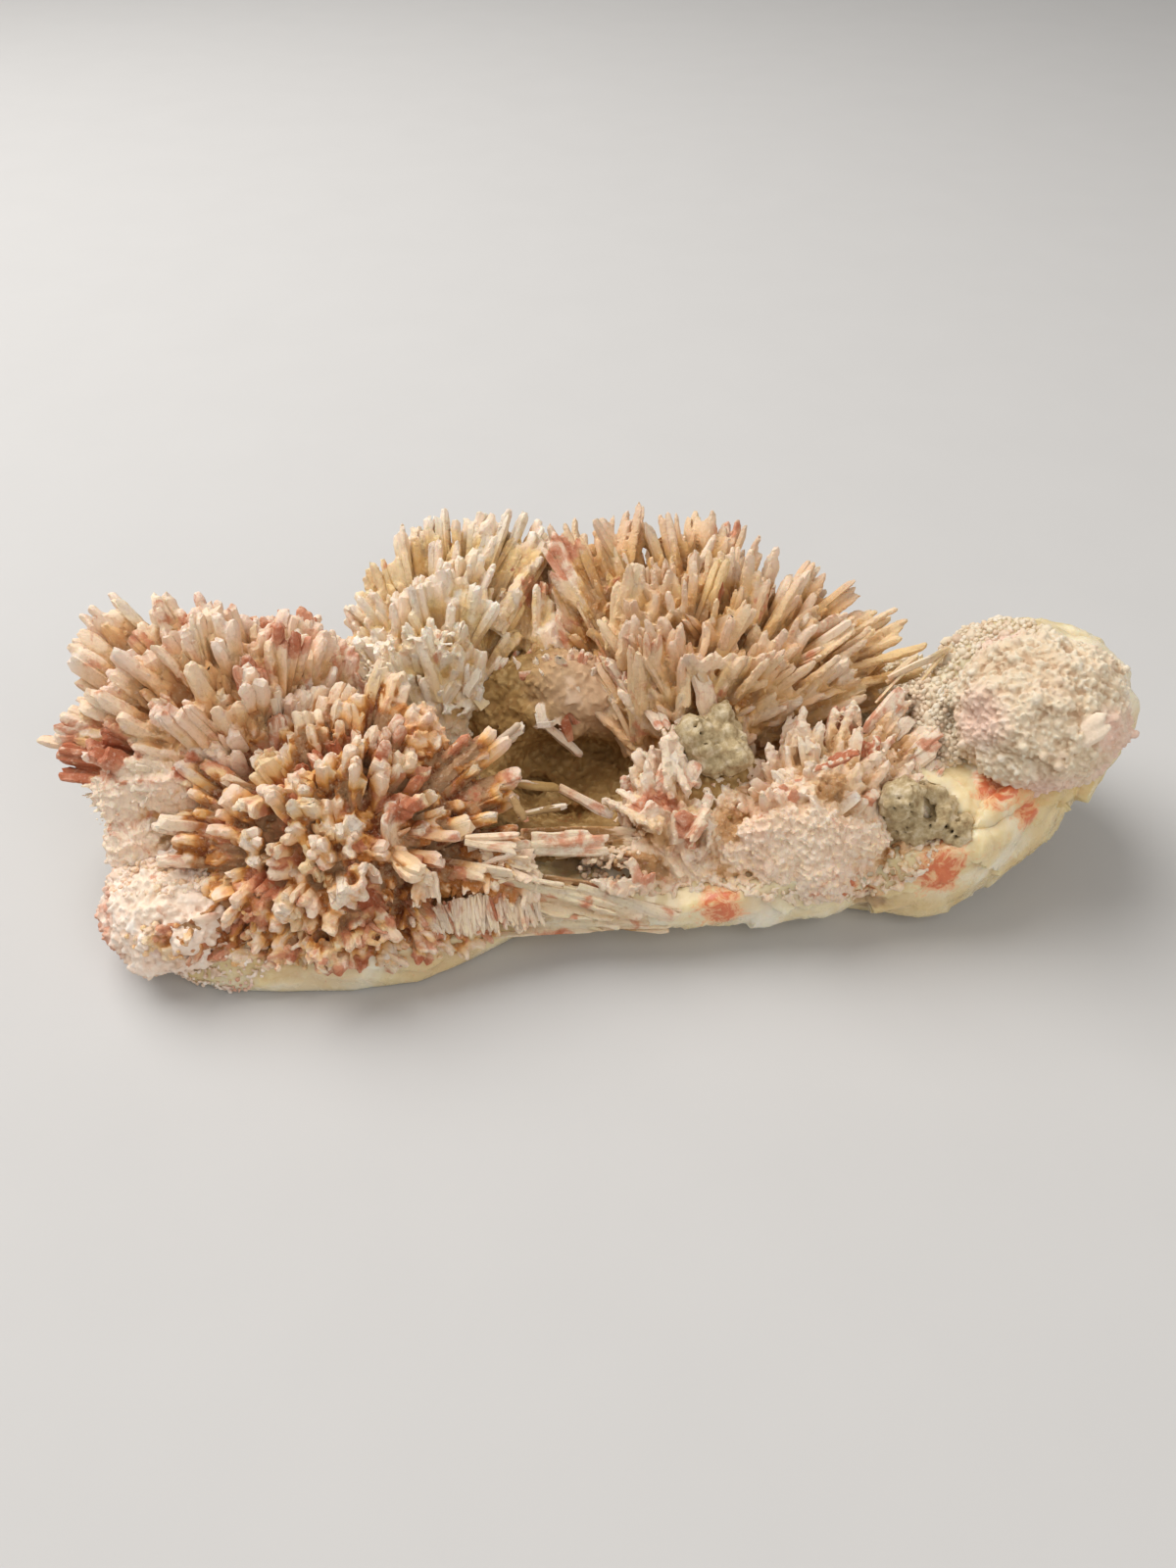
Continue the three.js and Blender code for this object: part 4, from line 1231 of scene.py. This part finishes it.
# The wing, with the granular place at its lower left and the blades that join it to the next spray.
spray("left_wing", "peach_stilbite", PALE, (0.65, 0.31, 0.09),
      [(6.8, (0.86, 1.0), (3.2, 6.2), 2.4, 0.2), (6.4, (0.76, 0.9), (2.4, 4.6), 2.0, 0.3),
       (5.4, (0.68, 0.8), (1.4, 2.8), 1.4, 0.4)], 22,
      core_share=0.6, zone=8, skin=0.4, swell=0.14, pitch=1.6, jitter=2.0, keep=0.48, crisp=0.55,
      gap=6.5, stained=(0.28, 0.08, 0.18), bald=[(0.08, 0.33, 16, 8.5)], fur=away_from(0.25, 0.42),
      stains={"red": [(0.05, 0.43, 0.38, 3.6), (0.13, 0.4, 0.34, 4.2), (0.23, 0.38, 0.29, 4),
                      (0.27, 0.19, 0.48, 6), (0.46, 0.67, 0.65, 4), (0.62, 0.72, 0.65, 4),
                      (0.77, 0.54, 0.83, 5)],
              "mustard": [(0.61, 0.71, 0.67, 4), (0.32, 0.27, 0.54, 4)],
              "white": [(0.3, 0.7, 0.8, 6), (0.32, 0.1, 0.25, 13)]},
      inner=[lumps([(0.105, 0.29, 22, 6)], (0.7, 0.9), (0.8, (0.35, 0.6))),
             fan((0.255, 0.48, 10), (0.245, 0.285), (0.60, 0.72), (6, 16), 24, (2, 4), 1.8, 0.3,
                 stains=(0.4, 0.2, 0.4)),
             fan((0.22, 0.55, 12), (0.195, 0.245), (0.70, 0.77), (6, 18), 20, (2, 4), 1.8, 0.3,
                 stains=(0.2, 0.5, 0.9))],
      extras=[dust(("chalcedony_crust", "left_lobe_druse"), [(0.12, 0.27, 13, 7)], 0.85, (0.45, 0.75),
                   seat=0.1, along=(0.7, 1.0)),
              cover(CRUST, [(0.29, 0.58, 9, 10)], 2.6, (4, 7), (1.4, 3), 1.3, 0.4, 0.6, upward,
                    stains=(0.4, 0.4, 0.5))])

# The left sheaf, with the grains at its left and the blades that join it to the right one.
spray("centre_left_sheaf", "cream_stilbite", CREAMY, (0.47, 0.18, 0.12),
      [(5.2, (0.88, 1.0), (2.6, 4.4), 1.9, 0.3), (4.8, (0.76, 0.9), (2.0, 3.6), 1.6, 0.35),
       (4.0, (0.66, 0.78), (1.6, 2.6), 1.3, 0.4)], 23,
      core_share=0.6, zone=9, skin=0.4, jitter=2.0, crisp=0.5, sugar=(1.3, (0.25, 0.45)),
      stained=(0.35, 0.05, 0.04),
      stains={"mustard": [(0.24, 0.62, 0.74, 9)], "white": [(0.65, 0.8, 0.9, 9)],
              "red": [(0.88, 0.62, 0.68, 5)]},
      inner=[fan((0.43, 0.60, 4), (0.42, 0.47), (0.80, 0.95), (-6, 4), 16, (2, 4), 1.4, 0.35),
             lumps([(0.462, 0.70, 3, 5.5), (0.458, 0.79, 0, 4.5)]),
             dust(("chalcedony_crust", "centre_left_sheaf"), [(0.36, 0.62, 12, 7)], 0.9, (0.4, 0.7)),
             fan((0.45, 0.48, 5), (0.44, 0.49), (0.68, 0.84), (-2, 8), 26, (2, 3.6), 1.6, 0.35),
             fan((0.455, 0.50, 3), (0.452, 0.474), (0.82, 0.93), (-5, 4), 16, (1.8, 3), 1.5, 0.35)],
      extras=[dust(CRUST, [(0.31, 0.58, 11, 13)], 1.0, (0.4, 0.7), seat=0.2)])

# The right sheaf, with more blades where it meets the left one.
spray("centre_right_sheaf", "peach_stilbite", TAWNY, (0.36, 0.13, 0.08),
      [(4.9, (0.88, 1.0), (2.2, 4.2), 1.6, 0.7), (4.5, (0.76, 0.9), (1.8, 3.6), 1.4, 0.75),
       (4.0, (0.66, 0.78), (1.6, 3.0), 1.3, 0.75)], 24,
      core_share=0.58, zone=10, skin=0.42, sugar=(2.8, (0.18, 0.3)), gap=8, crisp=0.35, swell=0.18,
      clear=("centre_nodule",),
      stains={"mustard": [(0.93, 0.34, 0.43, 15)], "red": [(0.05, 0.71, 0.83, 6)]},
      inner=[fan((0.50, 0.58, 6), (0.455, 0.53), (0.80, 0.97), (-7, 5), 30, (2.2, 4.4), 1.5, 0.5),
             fan((0.50, 0.64, 5), (0.455, 0.53), (0.68, 0.84), (4, 12), 20, (1.8, 3.6), 1.5, 0.5,
                 stains=(0.4, 0, 0.7))])

# The right fan, with the granular mass in front of it and a few plates beside the knob.
POPCORN = [(0.69, 0.255, 18, 7.0), (0.645, 0.33, 9, 9), (0.75, 0.30, 9, 7)]
UNDER_POPCORN = ("chalcedony_crust", "hollow_druse", "broken_ridge")
spray("right_fan", "pink_stilbite", ROSY, (0.37, 0.23, 0.02),
      [(4.4, (0.86, 1.0), (1.8, 3.2), 1.6, 0.5), (4.0, (0.7, 0.86), (1.5, 2.6), 1.4, 0.5)], 25,
      core_share=0.7, zone=10, skin=0.3, fill=0.86, sugar=(0.9, (0.3, 0.5)), bald=[(0.69, 0.27, 17, 7)],
      bed=(0.75, (0.32, 0.5), (0.7, 0.98)), keep=0.42, crisp=0.1, stained=(0.15, 0, 0.15), stains={},
      inner=[lumps([(0.628, 0.275, 23.5, 4.5), (0.648, 0.32, 22.5, 4.5), (0.66, 0.26, 25, 4.5),
                    (0.70, 0.235, 26, 4.5), (0.735, 0.27, 24, 4.5), (0.60, 0.235, 24, 3.0),
                    (0.606, 0.300, 23.5, 3.4), (0.622, 0.350, 21.5, 4.0), (0.645, 0.395, 20.0, 3.8)],
                   (0.7, 0.95), (0.72, (0.34, 0.52))),
             dust(UNDER_POPCORN, POPCORN, 0.7, (0.34, 0.5), seat=0.4, along=(0.7, 1.0)),
             dust(UNDER_POPCORN, POPCORN, 2.0, (0.5, 0.95), along=(0.7, 1.0))],
      extras=[shards([((0.746, 0.490, 22.0), (0.778, 0.578, 24.0), 2.6, 1.3, 0.4, 0.45),
                      ((0.768, 0.415, 23.5), (0.812, 0.500, 26.5), 3.6, 1.4, 0.5, 0.45),
                      ((0.752, 0.450, 23.0), (0.786, 0.520, 25.2), 1.8, 1.2, 0.3, 0.2)]),
              fan((0.765, 0.56, 18), (0.80, 0.825), (0.63, 0.68), (18, 22), 5, (0.8, 1.4), 0.8, 0.6,
                  stains=(1, 0.8, 0), zone=60),
              cover(CRUST, [(0.79, 0.48, 7, 6)], 1.6, (2.5, 5), (0.8, 1.8), 1.0, 0.5, 0.5, upward,
                    stains=(1, 0.2, 0.1))])


def plates(soup, rng):
    """Broken white plates, heaped."""
    where, facing = places_on(("broken_ridge", "chalcedony_crust", "front_bundle"),
                              [(0.57, 0.31, 9.5, 11), (0.55, 0.225, 12, 2.6)], 2.6, rng, 0.45)
    rows = []
    for at, out in zip(where, facing):
        aim = UPWARD * rng.uniform(0.3, 1.3) + RIGHT * rng.normal(0, 0.7) + out * rng.uniform(0.1, 0.6)
        aim = unit(aim)
        reach = rng.uniform(2.0, 5.0) * MM
        across = unit(np.cross(aim, out) + rng.normal(0, 0.4, 3))
        size = 1.0 if elevation(at)[1] > 0.27 else 0.55
        width, thick = rng.uniform(2.0, 3.5) * size * MM, rng.uniform(1.2, 2.0) * size * MM
        point = rng.uniform(0, 0.15)
        marks = (rng.random(), 0.7 * rng.random(), 0.0, 0.9 * rng.random() ** 2)
        rows += split(at - aim * reach * 0.3 * size, at + aim * reach * 0.6 * size, across, width,
                      thick, point, marks, 0.0, rng, pitch=3.6, ragged=0.6)
    laths(soup, rows, rng)


# The broken ridge, with the plates that are listed above and small ones over the hollow.
spray("broken_ridge", "pink_stilbite", ROSY, (0.56, 0.22, 0.02),
      [(4.6, (0.75, 0.95), (2.4, 4.6), 1.5, 0.1)], 26,
      core_share=0.64, zone=14, skin=0.38, sugar=(1.1, (0.35, 0.6)),
      stains={"red": [(0.4, 0.4, 0.5, 5)], "white": [(0.6, 0.6, 0.8, 8)]},
      inner=[plates, dust(("chalcedony_crust", "front_bundle"), [(0.555, 0.235, 12, 4)], 0.9,
                          (0.4, 0.65), along=(0.5, 0.9))],
      extras=[shards(SHARDS), shards(ARCH), shards(BARS),
              cover(("hollow_druse",), [(0.49, 0.66, 15, 4)], 2.2, (2, 4.5), (0.8, 2.2), 0.9, 0.4, 0.6,
                    upward, stains=(0.5, 0, 0.6))])


SLOT = (0.484, 0.240, 4.5, 1.5)  # the dark opening between the laths of the bundle


def bundle():
    """The laths that bridge the front, side by side, with a broad pale plate across the middle."""
    rng = chance(31)
    soup = Soup()
    rows = []
    for level in np.linspace(0.13, 0.30, 17):
        for _ in range(5):
            x, h = rng.uniform(0.39, 0.49), level + rng.normal(0, 0.008)
            sag = rng.normal(0, 0.012) - (0.05 if level < 0.23 else 0.0)
            root = front(x, h) - TOWARDS * rng.uniform(0, 3) * MM
            tip = front(x + rng.uniform(0.04, 0.12), h + sag) + TOWARDS * rng.uniform(-1, 1.5) * MM
            if within(root + (tip - root) * np.linspace(0, 1, 9)[:, None], [SLOT]).any():
                continue
            across = unit(np.cross(tip - root, TOWARDS)) + rng.normal(0, 0.5, 3)
            rows += split(root, tip, unit(across), rng.uniform(0.5, 1.6) * MM, 0.7 * MM, 0.5,
                          (rng.random(), rng.uniform(0.0, 0.5), 0.0, 0.8 * rng.random() ** 4), 0.0, rng)
    root, tip = at_front(0.448, 0.285, 30), at_front(0.520, 0.291, 31)
    across = unit(np.cross(tip - root, TOWARDS))
    rows += split(root, tip, across, 3.6 * MM, 0.9 * MM, 0.3, (0.3, 0.15, 0.0, 0.3), 0.0, rng,
                  ragged=1.8, taper=1.0)
    laths(soup, rows, rng, zone=40)
    soup = fused(soup, 0.34 * MM, 0.15, 31)
    laths(soup, [row for row in rows if rng.random() < 0.4], rng, zone=40)
    # Painted shade where laths lie sunk below their neighbours, as seen flat on.
    shaded(soup, at_front(0.46, 0.22, BEHIND), 3 * MM, FLAT_STEP)
    soup.piece("front_bundle_laths", "front_bundle", "cream_stilbite", BUFF)


bundle()

# The knob's grains, with a white plate on them and more grains down to the right sheaf.
CHIP = [((0.896, 0.474, 37), (0.922, 0.516, 40), 3.4, 1.4, 1.0, 0.0)]
SADDLE = [(0.80, 0.54, 8, 9), (0.85, 0.64, 10, 8)]
druse_piece("knob_druse", "pink_druse", PINK_DRUSE, 0.7, 0.9,
            [(0.66, (0.25, 0.38), 1), (1.3, (0.32, 0.5), 1), (2.8, (0.45, 0.8), 2)], 41, 0.23, 0.6,
            root=(0.5, 0.5, 0.3), keep=0.45,
            stains={"mustard": [(0.0, 0.3, 0.6, 8), (1.0, 0.3, 0.3, 12), (0.5, 0.0, 0.1, 8),
                                (0.3, 0.9, 0.8, 5), (0.75, 0.2, 0.6, 5)]},
            inner=[shards(CHIP)],
            extras=[lumps([(0.806, 0.560, 19.0, 3.8), (0.808, 0.510, 20.5, 3.8),
                           (0.817, 0.470, 22.0, 3.2)], (0.8, 1.0), (0.66, (0.4, 0.6))),
                    dust(CRUST, SADDLE, 0.66, (0.4, 0.6), seat=0.1, along=(0.7, 1.0), least=0.1),
                    dust(CRUST, SADDLE, 2.6, (0.7, 1.3), seat=-0.1, along=(0.7, 1.0), least=0.1)])

# The lobe's grains, with short blades where it meets the rosette.
druse_piece("left_lobe_druse", "pink_druse", LOBE_DRUSE, 0.7, 0.9,
            [(0.75, (0.28, 0.46), 1), (1.6, (0.4, 0.7), 1)], 42, 0.28, 0.75, root=(0.5, 0.5, 0.2),
            stains={"mustard": [(0.85, 0.35, 0.4, 8)], "white": [(0.45, 0.4, 0.95, 7)],
                    "red": [(0.1, 0.4, 0.5, 9)]},
            inner=[dust(CRUST, [(0.16, 0.09, 12, 8)], 0.75, (0.3, 0.48), seat=0.5, along=(0.7, 1)),
                   cover(("left_lobe_druse",), [(0.17, 0.20, 8, 6)], 2.4, (2.5, 4.5), (1.4, 2.6), 1.3,
                         0.3, 0.35, FROM_ROSETTE, stains=(1.0, 0.2, 0.7))])


def nodule_piece(node, seed, pits, lobes, crater=None):
    """A lumpy stone with deep pits, and lobes at shares of its box with radii in millimetres. A
    crater has a share of the box, a radius and a depth."""
    shape = bmesh.new()
    shape.from_mesh(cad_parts[node].data)
    for share, radius in lobes:
        made = bmesh.ops.create_icosphere(shape, subdivisions=3, radius=radius * MM)
        bmesh.ops.translate(shape, verts=made["verts"], vec=place(node, share))
    mesh = bpy.data.meshes.new("lobed")
    shape.to_mesh(mesh)
    shape.free()
    points, polygons, normals = remeshed(mesh, 0.36 * MM)
    bpy.data.meshes.remove(mesh)
    shift = Vector((seed, 0, 0))
    knobs = np.array([noise.voronoi(Vector(p) / (2.3 * MM) + shift)[0][0] for p in points])
    depth = np.array([noise.voronoi(Vector(p) / (1.3 * MM) + shift)[0][0] for p in points])
    pit = smooth(0.42, 0.15, depth) * smooth(-0.15, 0.2, rough(points, 4 * MM, seed))
    lift = rough(points, 1.2 * MM, seed + 1) * 0.3 + (0.5 - knobs) * 1.3 - pit * pits
    if crater:
        share, radius, deep = crater
        away = np.linalg.norm(points - place(node, share), axis=1) / (radius * MM)
        lift += 0.35 * deep * np.exp(-((away - 1.15) / 0.25) ** 2) - deep * smooth(1.0, 0.5, away)
        pit = np.maximum(pit, 0.75 * smooth(0.7, 0.3, away))
    soup = Soup()
    # The pits and the crater's floor are marked for painted shade.
    soup.add(points + normals * (lift * MM)[:, None], as_faces(polygons), along=1 - pit)
    soup.piece(node + "_stone", node, "grey_green_nodule", nodule(node), sharp=60)


nodule_piece("centre_nodule", 51, 1.5, [((0.22, 0.45, 0.85), 2.8), ((0.75, 0.25, 0.45), 3.0),
                                        ((0.6, 0.8, 0.85), 2.4), ((0.35, 0.35, 0.65), 2.8)])
nodule_piece("right_nodule", 52, 1.3, [((0.25, 0.4, 0.9), 3.4), ((0.95, 0.2, 0.3), 3.0)],
             crater=((0.62, 0.3, 0.85), 2.6, 1.8))


# ---- floor, light and camera ---------------------------------------------------------------------

FLOOR_HALF = 12 * float(HIGH[0] - LOW[0])
FLOOR_GAP = 0.2 * MM  # how far the floor lies below the cluster
FLOOR_COLOUR = (0.56, 0.555, 0.55)
LAMP_SIZE = 0.9  # in metres, as are the lamps' places
LAMP_AIM = (0, 0, 0.02)
CAMERA_PLACE = np.array((-0.65, -144.8, 150)) * MM  # where the cluster fills the picture's width


def floor():
    """A plain pale floor under the cluster."""
    p = Paint("floor")
    shade = p.mix(p.noise(p.coords(), 40, 3), FLOOR_COLOUR, tuple(c * 0.96 for c in FLOOR_COLOUR))
    corners = FLOOR_HALF * np.array([(-1, -1, 0), (1, -1, 0), (1, 1, 0), (-1, 1, 0)])
    mesh = mesh_of("floor", corners, [(0, 1, 2, 3)])
    mesh.materials.append(p.finish(shade, 0.75, p.bump(p.noise(p.coords(), 900, 2), 0.05, 0.1 * MM)))
    obj = shown("floor", mesh)
    obj.location.z = LOW[2] - FLOOR_GAP


def lamp(name, where, watts, colour):
    """A broad soft lamp that points at the cluster."""
    data = bpy.data.lights.new(name, "AREA")
    data.shape = "DISK"
    data.size = LAMP_SIZE
    data.energy = watts
    data.color = colour
    obj = shown(name, data)
    obj.location = where
    obj.rotation_euler = (Vector(LAMP_AIM) - Vector(where)).to_track_quat("-Z", "Y").to_euler()


floor()
lamp("window", (-0.42, 0.3, 0.75), 9.4, (1.0, 0.975, 0.945))
lamp("fill", (0.35, -0.6, 0.6), 3.0, (1.0, 0.975, 0.94))
world = bpy.data.worlds.new("studio")
world.use_nodes = True
background = world.node_tree.nodes["Background"]
background.inputs["Color"].default_value = (1.0, 0.98, 0.95, 1)
background.inputs["Strength"].default_value = 0.30
bpy.context.scene.world = world

# The camera looks down at the display side's tilt, and aims a little below the cluster's middle.
camera_data = bpy.data.cameras.new("camera")
camera_data.lens = 27
camera_data.sensor_width = 36
camera_data.clip_start = 0.01
camera = shown("camera", camera_data)
camera.location = CAMERA_PLACE
camera.rotation_euler = (math.pi / 2 - DISPLAY_TILT, 0, 0)
bpy.context.scene.camera = camera
bpy.context.scene.view_settings.view_transform = "Standard"
